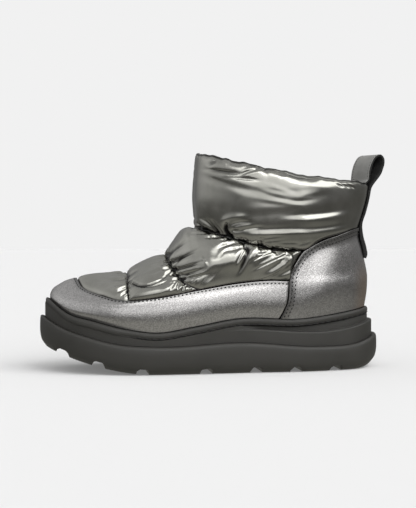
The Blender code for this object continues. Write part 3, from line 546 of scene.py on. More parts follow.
def oval(front, back, half_width, widest, nose, seat, turn):
    """Plan oval with its own fullness at each end: x and half width as it turns from front to back."""
    forward = turn < math.pi / 2
    power = np.where(forward, nose, seat)
    reach = np.abs(np.cos(turn)) ** (2 / power)
    x = np.where(forward, widest - (widest - front) * reach, widest + (back - widest) * reach)
    return x, half_width * np.abs(np.sin(turn)) ** (2 / power)


def ring_height(ring, x):
    """Height of a ring above the floor at each of its places."""
    along = np.clip((x - ring.front_x) / (ring.back_x - ring.front_x), 0, 1)
    early, late = DIP_POWERS
    shape = along**early * (1 - along) ** late
    peak = DIP_PEAK**early * (1 - DIP_PEAK) ** late
    level = ring.front_z + (ring.back_z - ring.front_z) * along
    return level - ring.dip * shape / peak - ring.sag * 4 * along * (1 - along)


def ring_points(ring, side):
    """Points of one half of a ring from toe to heel, spaced evenly on each side of the junction."""
    turn = np.linspace(0, math.pi, 4 * RING_STEPS)
    x, half = oval(
        ring.front_x, ring.back_x, ring.half_width, ring.widest, ring.nose, ring.seat, turn
    )
    y = foot_side(side, x, half)
    length = np.concatenate([[0], np.cumsum(np.hypot(np.diff(x), np.diff(y)))])
    stops = (0, np.interp(JUNCTION_X, x, length), length[-1])
    even = np.interp(np.linspace(0, 1, RING_STEPS), (0, JUNCTION_ALONG, 1), stops)
    x, y = np.interp(even, length, x), np.interp(even, length, y)
    if ring.name == "margin":
        z = midsole_top_z(x) + SEAT_GAP
    elif ring.rise < 1:
        edge_z = ring_points(RINGS[EDGE_LEVEL], side)[:, 2]
        z = (1 - ring.rise) * feather_z(x) + ring.rise * edge_z
    else:
        z = ring_height(ring, x)
    return np.stack([x, y, z], axis=1)


LAST = {side: np.array([ring_points(ring, side) for ring in RINGS]) for side in SIDES}


def last_point(side, along, level):
    """Points on the last: along 0 at the front to 1 at the back, level counted in rings."""
    along, level = np.broadcast_arrays(np.asarray(along, float), np.asarray(level, float))
    rings = LAST[side]
    step = np.clip(along, 0, 1) * (RING_STEPS - 1)
    low = np.clip(step.astype(int), 0, RING_STEPS - 2)
    part = (step - low)[..., None]
    base = np.clip(np.floor(level).astype(int), 0, len(RINGS) - 2)
    t = (level - base)[..., None]

    def at(row):
        row = np.clip(row, 0, len(RINGS) - 1)
        return rings[row, low] * (1 - part) + rings[row, low + 1] * part

    before, start, end, after = at(base - 1), at(base), at(base + 1), at(base + 2)
    return (
        (1 + 2 * t) * (1 - t) ** 2 * start
        + t * (1 - t) ** 2 * (end - before) / 2
        + t**2 * (3 - 2 * t) * end
        - t**2 * (1 - t) * (after - start) / 2
    )


def last_normal(side, along, level):
    """Outward normal of the last."""
    before, after = (np.clip(along + step, 0, 1) for step in (-NORMAL_STEP_ALONG, NORMAL_STEP_ALONG))
    below, above = (np.clip(level + step, 0, TOP_LEVEL) for step in (-NORMAL_STEP_UP, NORMAL_STEP_UP))
    across = last_point(side, after, level) - last_point(side, before, level)
    up = last_point(side, along, above) - last_point(side, along, below)
    return unit(np.cross(up, across) * side)


def off_last(side, along, level, offset):
    """Points moved off the last along its normal."""
    offset = np.asarray(offset, float)[..., None]
    return last_point(side, along, level) + offset * last_normal(side, along, level)


def leather_edge_z(x):
    """Side-view height of the edge between leather and quilting."""
    apex = MUDGUARD_EDGE[0]
    mudguard = np.where(
        x < apex.x, apex.z + BEYOND_APEX_SLOPE * (apex.x - x), smooth(MUDGUARD_EDGE, x)
    )
    return np.where(x < JUNCTION_X, mudguard, smooth(COUNTER_EDGE, x))


def collar_foot_z(x):
    """Side-view height of the collar's seam, run on behind the counter."""
    end = COLLAR_SEAM[-1]
    return np.where(x < end.x, smooth(COLLAR_SEAM, x), end.z)


def collar_seam_z(x):
    """Side-view height of the collar's seam, which runs smoothly into the counter's edge."""
    seam, counter = collar_foot_z(x), smooth(COUNTER_EDGE, x)
    return (seam + counter + np.hypot(seam - counter, SEAM_JOIN)) / 2


def beyond_leather(points):
    return points[..., 2] - leather_edge_z(points[..., 0])


def beyond_collar_seam(points):
    return points[..., 2] - collar_seam_z(points[..., 0])


def beyond_collar_foot(points):
    return points[..., 2] - collar_foot_z(points[..., 0])


def beyond_instep_seam(points):
    return points[..., 0] - smooth([(p.z, p.x) for p in INSTEP_SEAM], points[..., 2])


def beyond_vamp_seam(points):
    return points[..., 0] - smooth([(p.z, p.x) for p in VAMP_SEAM], points[..., 2])


def behind_counter_edge(points):
    return smooth(COUNTER_EDGE, points[..., 0]) - points[..., 2]


def behind_junction(points):
    return points[..., 0] - JUNCTION_X


def first_crossing(places, values):
    """Place where each row of values first turns from below zero to above it."""
    above = values >= 0
    last = values.shape[-1] - 1
    hit = np.clip(np.argmax(above, axis=-1), 1, last)
    hit = np.where(above.any(axis=-1), hit, last)
    rows = np.arange(values.shape[0])
    low, high = values[rows, hit - 1], values[rows, hit]
    share = np.clip(low / np.where(np.abs(low - high) < TINY, TINY, low - high), 0, 1)
    return places[hit - 1] + share * (places[hit] - places[hit - 1])


def crossing_level(side, along, beyond):
    """Level at which each column of the last passes a seam."""
    levels = np.linspace(FEATHER_LEVEL, TOP_LEVEL, LINE_SAMPLES)
    columns = np.asarray(along, float).reshape(-1, 1)
    return first_crossing(levels, beyond(last_point(side, columns, levels[None, :])))


@functools.cache
def leather_edge(side):
    """Columns of the last from front to back, and the level of the leather's edge on each."""
    along = np.linspace(0.0, 1.0, 2 * LINE_SAMPLES)
    return along, crossing_level(side, along, beyond_leather)


@functools.cache
def column_through(side, beyond, share):
    """Column that passes a line at this share of the way from feather line to leather edge."""
    along, edge = leather_edge(side)
    level = FEATHER_LEVEL + share * (edge - FEATHER_LEVEL)
    return first_crossing(along, beyond(last_point(side, along, level))[None, :])[0]


def columns_of(side, share, counts):
    """Columns at one height of the leather, from toe to heel, with a count for each stretch."""
    stops = (
        0.0,
        column_through(side, beyond_vamp_seam, 1.0),
        column_through(side, beyond_instep_seam, 1.0),
        column_through(side, behind_counter_edge if share < 1 else behind_junction, share),
        1.0,
    )
    pieces = [
        np.linspace(start, end, count, endpoint=False)
        for start, end, count in zip(stops, stops[1:], counts)
        if count
    ]
    filled = [index for index, count in enumerate(counts) if count]
    return np.concatenate([*pieces, [stops[filled[-1] + 1]]])


def around(outer, inner):
    """Rows of both sides joined: heel to toe on the outer side, then toe to heel on the inner."""
    return np.concatenate([outer[:, ::-1], inner[:, 1:]], axis=1)


def bent_grid(bm, points):
    """A grid bent through rows of points."""
    rows, columns = points.shape[:2]
    made = bmesh.ops.create_grid(bm, x_segments=columns - 1, y_segments=rows - 1, size=1.0)
    for vert, place in zip(made["verts"], (points + FRAME_SHIFT).reshape(-1, 3)):
        vert.co = place
    return made["verts"]


def settle(bm):
    """Merges doubles, drops faces that shrank to nothing and points the rest outwards."""
    bmesh.ops.remove_doubles(bm, verts=bm.verts, dist=MERGE)
    bmesh.ops.dissolve_degenerate(bm, edges=bm.edges, dist=MERGE)
    bmesh.ops.recalc_face_normals(bm, faces=bm.faces)


def piece(name, bm, materials, replaced=(), sharp=None):
    """Puts a bmesh into the scene as one named piece that rides on the boot."""
    mesh = bpy.data.meshes.new(name)
    bm.to_mesh(mesh)
    bm.free()
    mesh.shade_smooth()
    if sharp:
        mesh.set_sharp_from_angle(angle=math.radians(sharp))
    for material in materials:
        mesh.materials.append(material)
    made = bpy.data.objects.new(name, mesh)
    bpy.context.scene.collection.objects.link(made)
    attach(made, "root")
    if replaced:
        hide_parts(*replaced)
    return made


class Value:
    """A socket of a material's nodes. Arithmetic on it adds Math nodes."""

    def __init__(self, tree, socket=None):
        self.tree = tree
        self.socket = socket

    def node(self, kind, settings=None, sockets=None, output=0):
        """Adds a node: its settings first, then the values or links of its sockets."""
        made = self.tree.nodes.new(kind)
        for name, value in (settings or {}).items():
            setattr(made, name, value)
        for name, value in (sockets or {}).items():
            if isinstance(value, Value):
                self.tree.links.new(value.socket, made.inputs[name])
            else:
                made.inputs[name].default_value = value
        return Value(self.tree, made.outputs[output] if made.outputs else None)

    def math(self, operation, first, second):
        return self.node("ShaderNodeMath", {"operation": operation}, {0: first, 1: second})

    def __add__(self, other):
        return self.math("ADD", self, other)

    def __radd__(self, other):
        return self.math("ADD", other, self)

    def __sub__(self, other):
        return self.math("SUBTRACT", self, other)

    def __rsub__(self, other):
        return self.math("SUBTRACT", other, self)

    def __mul__(self, other):
        return self.math("MULTIPLY", self, other)

    def __rmul__(self, other):
        return self.math("MULTIPLY", other, self)


def start_material(name):
    """A new material, and its Object coordinates."""
    made = bpy.data.materials.new(name)
    made.use_nodes = True
    made.node_tree.nodes.clear()
    return made, Value(made.node_tree).node("ShaderNodeTexCoord", output="Object")


def noise(place, scale, detail=4, roughness=0.55):
    sockets = {"Vector": place, "Scale": scale, "Detail": detail, "Roughness": roughness}
    return place.node("ShaderNodeTexNoise", None, sockets, output="Fac")


def cells(place, scale):
    return place.node("ShaderNodeTexVoronoi", None, {"Vector": place, "Scale": scale}, output="Distance")


def ranged(value, low, high, to_low=0.0, to_high=1.0):
    """A value's range spread over another, clamped and eased."""
    sockets = {"Value": value, "From Min": low, "From Max": high, "To Min": to_low, "To Max": to_high}
    return value.node("ShaderNodeMapRange", {"interpolation_type": "SMOOTHSTEP"}, sockets)


def blend(factor, first, second):
    """Colour between two colours, each plain or worked out by nodes."""
    first, second = (tone if isinstance(tone, Value) else (*tone, 1) for tone in (first, second))
    return factor.node("ShaderNodeMix", {"data_type": "RGBA"}, {0: factor, 6: first, 7: second}, output=2)


def bumped(height, distance, strength=1.0, over=None):
    """Normal of a surface with this height, over another bumped normal if one is given."""
    sockets = {"Strength": strength, "Distance": distance, "Height": height}
    if over:
        sockets["Normal"] = over
    return height.node("ShaderNodeBump", None, sockets)


def surface(made, sockets):
    """Joins a Principled shader with these sockets to a material's output."""
    tree = Value(made.node_tree)
    shader = tree.node("ShaderNodeBsdfPrincipled", None, sockets)
    tree.node("ShaderNodeOutputMaterial", None, {"Surface": shader})
    return made


# Tones of each finish, dark and light, and the colours worked into them, among which painted shade and a
# painted warm reflection
FOIL_TONES = (0.300, 0.298, 0.272), (0.350, 0.346, 0.320)
PAINTED_SHADE_BLACK = (0.020, 0.020, 0.019)
LEATHER_TONES = (0.318, 0.312, 0.307), (0.452, 0.443, 0.437)
PAINTED_HEM_SHADE = (0.105, 0.103, 0.100)
WARM_REFLECTION_TINT = (0.520, 0.400, 0.310)
RUBBER_TONES = (0.0285, 0.0276, 0.0244), (0.0350, 0.0338, 0.0304)
STRAP_TONES = (0.235, 0.234, 0.222), (0.300, 0.298, 0.284)
BACKING_TONES = (0.010, 0.010, 0.010), (0.022, 0.022, 0.021)
FLEECE_TONES = (0.022, 0.022, 0.021), (0.060, 0.059, 0.056)
FELT_TONES = (0.035, 0.035, 0.034), (0.075, 0.074, 0.070)
THREAD_TONES = (0.005, 0.005, 0.005), (0.013, 0.013, 0.012)

# Where a warm reflection is painted low on the heel's leather, and where the counter leans in towards its
# top
WARM_X, WARM_Z, WARM_SHARE = (0.110, 0.126), (0.098, 0.066), 0.7
LEAN_X, LEAN_Z = (0.072, 0.106), (0.071, 0.105)


def foil_nylon():
    """Foil-coated nylon: dark silver with a fine crinkle, and painted shade at seams, troughs and the rim.
    """
    made, place = start_material("foil_nylon")
    crinkle = noise(place, scale=420, detail=3)
    cloud = noise(place, scale=60, detail=3)
    weave = noise(place, scale=2600, detail=1)
    # Painted shade: the surface darkens towards black at seams, in crease troughs and gather valleys, and
    # on the rim's top edge
    seam = place.node("ShaderNodeAttribute", {"attribute_name": "painted_shade"}, output="Fac")
    height = crinkle * 0.25 + weave * 0.04 + cloud * 0.9
    foil = blend(ranged(cloud, 0.35, 0.7), *FOIL_TONES)
    return surface(
        made,
        {
            "Base Color": blend(ranged(seam, 0.25, 0.9), foil, PAINTED_SHADE_BLACK),
            "Metallic": 1.0,
            "Roughness": ranged(cloud, 0.3, 0.7, 0.19, 0.24),
            "Normal": bumped(height, distance=0.0001, strength=0.35),
        },
    )


def metallic_leather():
    """Milled leather with a metal foil finish: fine grain, painted shade along its sewn edges, a painted
    warm reflection low at the back of the heel, and leaning in at the upper front of the counter."""
    made, place = start_material("metallic_leather")
    grain = cells(place, scale=950)
    fleck = noise(place, scale=1000, detail=2, roughness=0.6)
    pores = noise(place, scale=2400, detail=2)
    cloud = noise(place, scale=28)
    mottle = noise(place, scale=300)
    height = ranged(grain, 0.0, 0.7) * 0.4 + fleck * 0.8 + pores * 0.3 + mottle * 0.2
    tone = ranged(cloud * 0.12 + mottle * 0.18 + fleck * 0.70, 0.38, 0.62)
    # Painted shade along each panel's sewn edges
    hem = place.node("ShaderNodeAttribute", {"attribute_name": "hem"}, output="Fac")
    grey = blend(hem, blend(tone, *LEATHER_TONES), PAINTED_HEM_SHADE)
    x, z = (place.node("ShaderNodeSeparateXYZ", None, {0: place}, output=axis) for axis in ("X", "Z"))
    # A warm reflection painted low at the back of the heel
    warm_reflection = ranged(x, *WARM_X) * ranged(z, *WARM_Z) * WARM_SHARE
    behind = ranged(x, *LEAN_X)
    lean = ranged(z, *LEAN_Z, 1.0, 0.0) * (1 - behind) + behind
    return surface(
        made,
        {
            "Base Color": blend(warm_reflection, grey, WARM_REFLECTION_TINT),
            "Metallic": 0.95,
            "Roughness": ranged(mottle, 0.3, 0.7, 0.22, 0.27),
            "Normal": bumped(height, distance=0.0001, strength=0.6, over=bumped(lean, COUNTER_LEAN)),
        },
    )


def sole_rubber():
    """Moulded rubber: matt olive grey with a fine spark texture and dusty patches."""
    made, place = start_material("sole_rubber")
    spark = noise(place, scale=1900, detail=2)
    cloud = noise(place, scale=45)
    return surface(
        made,
        {
            "Base Color": blend(ranged(cloud, 0.3, 0.7), *RUBBER_TONES),
            "Roughness": ranged(cloud, 0.3, 0.7, 0.50, 0.62),
            "Specular IOR Level": 0.45,
            "Normal": bumped(spark + cloud * 0.5, distance=0.0001, strength=0.5),
        },
    )


def strap_leather():
    """Plain grey leather of the pull loop."""
    made, place = start_material("strap_leather")
    grain = cells(place, scale=1100)
    cloud = noise(place, scale=90)
    return surface(
        made,
        {
            "Base Color": blend(ranged(cloud, 0.3, 0.7), *STRAP_TONES),
            "Roughness": ranged(cloud, 0.3, 0.7, 0.42, 0.55),
            "Metallic": 0.25,
            "Normal": bumped(grain + cloud * 0.5, distance=0.00012, strength=0.6),
        },
    )


def strap_lining():
    """Black woven backing of the pull loop."""
    made, place = start_material("strap_lining")
    weave = noise(place, scale=1500, detail=2)
    return surface(
        made,
        {
            "Base Color": blend(ranged(weave, 0.3, 0.7), *BACKING_TONES),
            "Roughness": 0.9,
            "Normal": bumped(weave, distance=0.0002, strength=0.8),
        },
    )


def fleece_lining():
    """Dark knitted fleece of the inside."""
    made, place = start_material("fleece_lining")
    pile = noise(place, scale=700, detail=5, roughness=0.7)
    tufts = cells(place, scale=330)
    return surface(
        made,
        {
            "Base Color": blend(ranged(pile + tufts * 0.4, 0.4, 0.9), *FLEECE_TONES),
            "Roughness": 0.95,
            "Sheen Weight": 0.4,
            "Normal": bumped(pile + tufts * 0.6, distance=0.0008, strength=0.9),
        },
    )


def footbed_cloth():
    """Dark felted cloth of the footbed."""
    made, place = start_material("footbed_cloth")
    felt = noise(place, scale=900, detail=5, roughness=0.7)
    return surface(
        made,
        {
            "Base Color": blend(ranged(felt, 0.35, 0.7), *FELT_TONES),
            "Roughness": 0.95,
            "Normal": bumped(felt, distance=0.0005, strength=0.8),
        },
    )


def dark_thread():
    """Waxed dark thread."""
    made, place = start_material("dark_thread")
    twist = noise(place, scale=3000, detail=1)
    return surface(
        made,
        {
            "Base Color": blend(ranged(twist, 0.3, 0.7), *THREAD_TONES),
            "Roughness": 0.6,
            "Normal": bumped(twist, distance=0.0001, strength=0.6),
        },
    )


def puff_profile(puff, part):
    """Cross-section of a puff: 0 at both seams, 1 at its peak."""
    before = (puff.peak - part) / puff.peak
    after = (part - puff.peak) / (1 - puff.peak)
    away = np.where(part < puff.peak, before, after)
    return (1 - np.clip(away, 0, 1) ** puff.roundness) ** (1 / puff.roundness)


def seam_length(side, along, level):
    """Distance along a seam from the front centre, negative on the outer side."""
    points = last_point(side, along, level)
    steps = np.linalg.norm(np.diff(points, axis=0), axis=1)
    return side * np.concatenate([[0], np.cumsum(steps)])


def gather_height(gather, distance, away):
    """Height of the small gathers along one seam: sharp valleys between round folds of uneven size."""
    total = np.zeros_like(away)
    for fold in GATHER_FOLDS:
        place = (distance + gather.lean * away) / (gather.pitch * fold.pitch) + gather.seed
        place = place + GATHER_DRIFT * np.sin(GATHER_BEAT * place)
        size = 1 - GATHER_UNEVEN * np.sin(fold.beat * place + gather.seed) ** 2
        wave = 2 * np.abs(np.sin(math.pi * place)) - 4 / math.pi
        total += fold.height * size * wave * np.exp(-away / (gather.reach * fold.reach * size))
    return gather.height * total


def crease_line(crease):
    """Points along a crease's curve through its three places, in metres."""
    start, middle, end = (MM * np.array(place) for place in (crease.start, crease.middle, crease.end))
    bend = 2 * middle - (start + end) / 2
    share = np.linspace(0, 1, CREASE_SAMPLES)[:, None]
    return (1 - share) ** 2 * start + 2 * share * (1 - share) * bend + share**2 * end


def crease_height(x, z):
    """Height of the main creases at places in side view, and the depth of the troughs among them."""
    total, depth = np.zeros_like(x), np.zeros_like(x)
    for crease in CREASES:
        line, width = crease_line(crease), MM * crease.width
        low, high = line.min(axis=0) - CREASE_REACH * width, line.max(axis=0) + CREASE_REACH * width
        near = (x > low[0]) & (x < high[0]) & (z > low[1]) & (z < high[1])
        places = np.stack([x[near], z[near]], axis=1)
        nearest, along, left = np.full(len(places), np.inf), np.zeros(len(places)), np.zeros(len(places))
        for index, (first, second) in enumerate(zip(line, line[1:])):
            way = second - first
            part = np.clip((places - first) @ way / (way @ way), 0, 1)
            off = places - first - part[:, None] * way
            distance = np.linalg.norm(off, axis=1)
            closer = distance < nearest
            nearest = np.where(closer, distance, nearest)
            along = np.where(closer, (index + part) / (CREASE_SAMPLES - 1), along)
            left = np.where(closer, off @ np.array((-way[1], way[0])) / np.linalg.norm(way), left)
        start_taper = CREASE_SEWN_TAPER if crease.sewn else CREASE_TAPER
        taper = ease(along / start_taper) * ease((1 - along) / CREASE_TAPER)
        height = MM * crease.height - math.tan(math.radians(crease.turn)) * left
        profile = taper * np.exp(-((nearest / width) ** 2))
        total[near] += height * profile
        depth[near] += MM * max(0.0, -crease.height) * profile
    return total, depth


Quilt = namedtuple("Quilt", "points held near gathers")


def collar_swell(along):
    """Share of the collar's swell that is left: flat at the back, held in at the front."""
    flat = COLLAR_BACK_FLATTENING * ease((along - COLLAR_BACK_START) / COLLAR_BACK_LENGTH)
    return (1 - flat) * (COLLAR_FRONT_SWELL + (1 - COLLAR_FRONT_SWELL) * ease(along / COLLAR_FRONT_END))


def collar_offset(puff, side, along, low, high, level, swell, from_start):
    """How far the collar stands off the last: its puff runs on behind the counter, tucked in there."""
    foot = crossing_level(side, along, beyond_collar_foot)
    whole = np.clip((level - foot) / (high - foot), 0, 1)
    sink = puff.start_sink + (puff.end_sink - puff.start_sink) * whole
    offset = sink + swell * puff_profile(puff, whole)
    behind = np.linalg.norm(last_point(side, along, low) - last_point(side, along, foot), axis=-1)
    tucked = ease(behind / COVER_LENGTH) * np.clip(1 - from_start / TUCK_LENGTH, 0, 1) ** 2
    return offset + tucked * (TUCK_SINK - offset)


def quilt_rows(side, along):
    """Plain quilting of one side from the leather edge to the rim: where it is, where its seams hold it,
    how near each point is to a seam, and the height of its gathers."""
    seams = [crossing_level(side, along, beyond_leather)]
    for beyond in (beyond_vamp_seam, beyond_instep_seam, beyond_collar_seam):
        seams.append(np.maximum(seams[-1], crossing_level(side, along, beyond)))
    seams.append(np.full_like(along, TOP_LEVEL))
    leather_sink = -(LEATHER + GAP)
    at_edge = last_point(side, along, seams[0])
    start_row = off_last(side, along, seams[0], np.full_like(along, leather_sink))
    nothing = np.zeros((1, len(along)))
    rows = [Quilt(start_row[None], nothing + 1, nothing, nothing)]
    for puff, low, high in zip(PUFFS, seams, seams[1:]):
        at_seam = last_point(side, along, low)
        length = np.linalg.norm(last_point(side, along, high) - at_seam, axis=-1)
        free = ease(np.linalg.norm(at_seam - at_edge, axis=-1) / FREE_LENGTH)
        part = np.linspace(1 / puff.rows, 1, puff.rows)[:, None]
        level = low + part * (high - low)
        from_start, from_end = part * length, (1 - part) * length
        swell = puff.swell * np.clip(length / puff.full_length, 0, 1)
        if puff.name == "collar":
            swell = swell * collar_swell(along)
            offset = collar_offset(puff, side, along, low, high, level, swell, from_start)
            near = from_start
        else:
            start = leather_sink + (puff.start_sink - leather_sink) * free
            offset = start + (puff.end_sink - start) * part + swell * puff_profile(puff, part)
            near = np.minimum(from_start, from_end)
        offset = np.where(length < MERGE, leather_sink, offset)
        first, last = GATHERS[puff.name]
        gathers = free * gather_height(first, seam_length(side, along, low), from_start)
        gathers = gathers + gather_height(last, seam_length(side, along, high), from_end)
        held = np.broadcast_to((part >= 1) | (length < SEAM_HOLD), level.shape)
        rows.append(Quilt(off_last(side, along[None, :], level, offset), held, near, gathers))
    return Quilt(*(np.concatenate(values) for values in zip(*rows)))


def grid_normals(points):
    """Outward normals of rows of points that run round the boot from the bottom up."""
    across, up = np.gradient(points, axis=1), np.gradient(points, axis=0)
    normal = np.cross(up, across)
    return normal / np.maximum(np.linalg.norm(normal, axis=-1, keepdims=True), TINY)


def finer(values, axis):
    """Rows with one more put between each two, on a cubic through the four nearest."""
    values = np.moveaxis(values, axis, 0)
    ends = np.concatenate([values[:1], values, values[-1:]])
    made = np.empty((2 * len(values) - 1, *values.shape[1:]))
    made[::2] = values
    made[1::2] = (9 * (ends[1:-2] + ends[2:-1]) - ends[:-3] - ends[3:]) / 16
    return np.moveaxis(made, 0, axis)


def lining_depth(level):
    """Depth of the lining under the last, thinning from the ankle up to the rim."""
    thinned = ease((level - ANKLE_LEVEL) / (TOP_LEVEL - ANKLE_LEVEL))
    full = LEATHER + GAP + LINING
    return -(full + (RIM_WALL - full) * thinned)


def hidden_rows(side, along):
    """Rows of the wall under the leather, from the lasting margin up to just below the leather's edge."""
    edge = crossing_level(side, along, beyond_leather)
    share = np.linspace(0, 1, HIDDEN_ROWS, endpoint=False)[:, None]
    level = np.concatenate([np.zeros((1, len(along))), FEATHER_LEVEL + share * (edge - FEATHER_LEVEL)])
    return off_last(side, along[None, :], level, np.full_like(level, -(LEATHER + GAP)))


def lining_rows(side, along):
    """Rows of the lining from the rim down to the lasting margin."""
    share = np.linspace(1, 0, LINING_ROWS)[:, None]
    level = FEATHER_LEVEL + share * (TOP_LEVEL - FEATHER_LEVEL) + 0 * along
    level = np.concatenate([level, np.zeros((1, len(along)))])
    return off_last(side, along[None, :], level, lining_depth(level))


def quilted_points(columns):
    """Points of the quilting round the boot with its wrinkles, and the painted shade of seams and troughs.
    """
    quilts = [quilt_rows(side, columns[side]) for side in SIDES]
    points, held, near, gathers = (around(*values) for values in zip(*quilts))
    points = points + swell_cloth(points, held)
    x, y, z = np.moveaxis(points, -1, 0)
    outer, inner = crease_height(x, z), crease_height(x + INNER_SHIFT.x, z + INNER_SHIFT.z)
    creases, depth = (np.where(y < 0, mine, INNER_CREASES * other) for mine, other in zip(outer, inner))
    still = 1 - np.exp(-((near / SEAM_HOLD) ** 2))
    height = (gathers + creases) * still
    # Painted shade near each seam and in the troughs of creases and gathers
    shade = np.exp(-((near / SEAM_SHADE) ** 2)) + (depth - np.minimum(gathers, 0)) / SHADED_DEPTH
    return points + height[..., None] * grid_normals(points), np.clip(shade, 0, 1)


def rim_wave(rim, start, rows):
    """Small unevenness of the rim's height, fading a few rows below it outside and inside."""
    steps = np.linalg.norm(np.diff(rim, axis=0), axis=1)
    place = np.concatenate([[0], np.cumsum(steps)]) - steps.sum() / 2
    total = np.zeros_like(place)
    for wave in RIM_WAVES:
        total += wave.height * np.sin(2 * math.pi * place / wave.pitch + wave.phase)
    row = np.arange(rows)
    outside = ease(1 - (start - row) / RIM_WAVE_ROWS)
    inside = ease(1 - (row - start - RIM_ROWS) / RIM_WAVE_INSIDE_ROWS)
    return (outside * inside)[:, None] * total


def build_upper():
    """The padded wall: quilted foil nylon outside, fleece inside, in one closed skin."""
    columns = {side: columns_of(side, 1.0, WALL_COLUMNS) for side in SIDES}
    hidden, lining = (
        around(*(rows(side, columns[side]) for side in SIDES)) for rows in (hidden_rows, lining_rows)
    )
    quilt, quilt_shade = quilted_points(columns)
    turn = np.linspace(0, math.pi, RIM_ROWS + 2)[1:-1, None, None]
    middle, reach = (quilt[-1] + lining[0]) / 2, (quilt[-1] - lining[0]) / 2
    rim = middle + reach * np.cos(turn) + np.array((0, 0, RIM_ROLL)) * np.sin(turn)
    points = np.concatenate([hidden, quilt, rim, lining, hidden[:1]])
    rim_start = len(hidden) + len(quilt)
    points[..., 2] += rim_wave(quilt[-1], rim_start, len(points))
    # Painted shade: full under the leather, from seams and troughs on the quilting, and a dark line along
    # the rim's top edge
    shade = np.zeros(points.shape[:2])
    shade[: len(hidden)] = 1
    shade[len(hidden) : rim_start] = quilt_shade
    shade[rim_start - 1] = np.maximum(shade[rim_start - 1], RIM_SHADE[0])
    shade[rim_start : rim_start + RIM_CLOTH_ROWS] = RIM_SHADE[1]
    bm = bmesh.new()
    painted_shade = bm.verts.layers.float.new("painted_shade")
    for vert, value in zip(bent_grid(bm, points), shade.reshape(-1)):
        vert[painted_shade] = value
    lining_start = (rim_start + RIM_CLOTH_ROWS) * (points.shape[1] - 1)
    for index, face in enumerate(bm.faces):
        face.material_index = int(index >= lining_start)
    settle(bm)
    made = piece("quilted_upper", bm, (foil_nylon(), fleece_lining()), ("upper",))


def swell_cloth(points, held):
    """How far the cloth swells and gathers between its seams, from a simulation of every second row and
    column, within a cap."""
    scene = bpy.context.scene
    bm = bmesh.new()
    weights = bm.verts.layers.deform.verify()
    coarse = points[::2, ::2]
    for vert, value in zip(bent_grid(bm, coarse), held[::2, ::2].reshape(-1)):
        vert[weights][0] = float(value)
    mesh = bpy.data.meshes.new("cloth")
    bm.to_mesh(mesh)
    bm.free()
    sheet = bpy.data.objects.new("cloth", mesh)
    scene.collection.objects.link(sheet)
    sheet.vertex_groups.new(name="held")
    cloth = sheet.modifiers.new("cloth", "CLOTH")
    for name, value in CLOTH_SETTINGS.items():
        setattr(cloth.settings, name, value)
    cloth.settings.effector_weights.gravity = 0
    cloth.point_cache.frame_end = CLOTH_FRAMES
    for number in range(1, CLOTH_FRAMES + 1):
        scene.frame_set(number)
    swollen = sheet.evaluated_get(bpy.context.evaluated_depsgraph_get())
    after = np.array([vert.co for vert in swollen.data.vertices]).reshape(coarse.shape)
    bpy.data.objects.remove(sheet)
    scene.frame_set(1)
    move = after - (coarse + FRAME_SHIFT)
    size = np.linalg.norm(move, axis=-1, keepdims=True)
    move *= CLOTH_CAP * np.tanh(size / CLOTH_CAP) / np.maximum(size, TINY)
    return finer(finer(move, 0), 1)


def leather_grid(panel):
    """Rows of a leather panel round the boot, between the ends of its columns."""
    end, inwards = (0, 1) if panel.at_heel else (-1, -1)
    halves = []
    for side in SIDES:
        along, level = [], []
        for share in np.linspace(0, 1, panel.rows + 1):
            columns = columns_of(side, share, panel.columns)
            columns[end] += inwards * PANEL_END_SHARE * (1 - columns[end])
            edge = np.interp(columns, *leather_edge(side))
            along.append(columns)
            level.append(FEATHER_LEVEL + share * (edge - FEATHER_LEVEL))
        along, level = np.array(along), np.array(level)
        level[-1] -= PANEL_TOP_DROP
        points = last_point(side, along, level)
        height = lift_edge(points) + counter_swell(along) if panel.at_heel else mudguard_swell(along)
        halves.append(points + height[..., None] * last_normal(side, along, level))
    outer, inner = halves
    if panel.at_heel:
        return np.concatenate([inner, outer[:, -2::-1]], axis=1)
    return around(outer, inner)


def lift_edge(points):
    """Lift of the counter's front edge over the mudguard."""
    front = np.linalg.norm(points - points[:, :1], axis=-1)
    top = np.linalg.norm(points - points[-1:, :], axis=-1)
    near = np.minimum(front, top)
    return COUNTER_LIP * np.exp(-((near / COUNTER_LIP_REACH) ** 2))


def counter_swell(along):
    """Fullness of the heel: how far each row of the counter stands off the last, from front to back."""
    share = np.linspace(0, 1, len(along))[:, None]
    way = (along - along[:, :1]) / (along[:, -1:] - along[:, :1])
    middle, size = COUNTER_SWELL_MIDDLE, COUNTER_SWELL_SIZE
    fade = ease(way / size[0]) * ease(share / size[1]) * ease((1 - share) / size[1])
    away = ((way - middle[0]) / size[0]) ** 2 + ((share - middle[1]) / size[1]) ** 2
    return COUNTER_SWELL * np.exp(-away) * fade


def mudguard_swell(along):
    """Fullness of the mudguard over the welt, from the feather line to its top edge."""
    share = np.linspace(0, 1, len(along))[:, None]
    rise, fall = share / MUDGUARD_SWELL_MIDDLE, (1 - share) / (1 - MUDGUARD_SWELL_MIDDLE)
    toe = np.exp(-((along / TOE_SWELL_LENGTH) ** 2))
    dome = TOE_SWELL * np.sin(math.pi * share**TOE_SWELL_POWER)
    return dome * toe + MUDGUARD_SWELL * ease(np.minimum(rise, fall)) * (1 - toe)


def hem_shade(points, panel):
    """Painted shade of each place of a panel by its nearness to the sewn edge, 1 at the edge: its top, and
    a counter's ends.
    """
    near = np.linalg.norm(points - points[-1:], axis=-1)
    if panel.at_heel:
        for end in (points[:, :1], points[:, -1:]):
            near = np.minimum(near, np.linalg.norm(points - end, axis=-1))
    strip, edge = np.exp(-((near / panel.hem) ** HEM_POWER)), np.exp(-((near / HEM_EDGE) ** 2))
    return HEM_DARKNESS * strip + (1 - HEM_DARKNESS) * edge


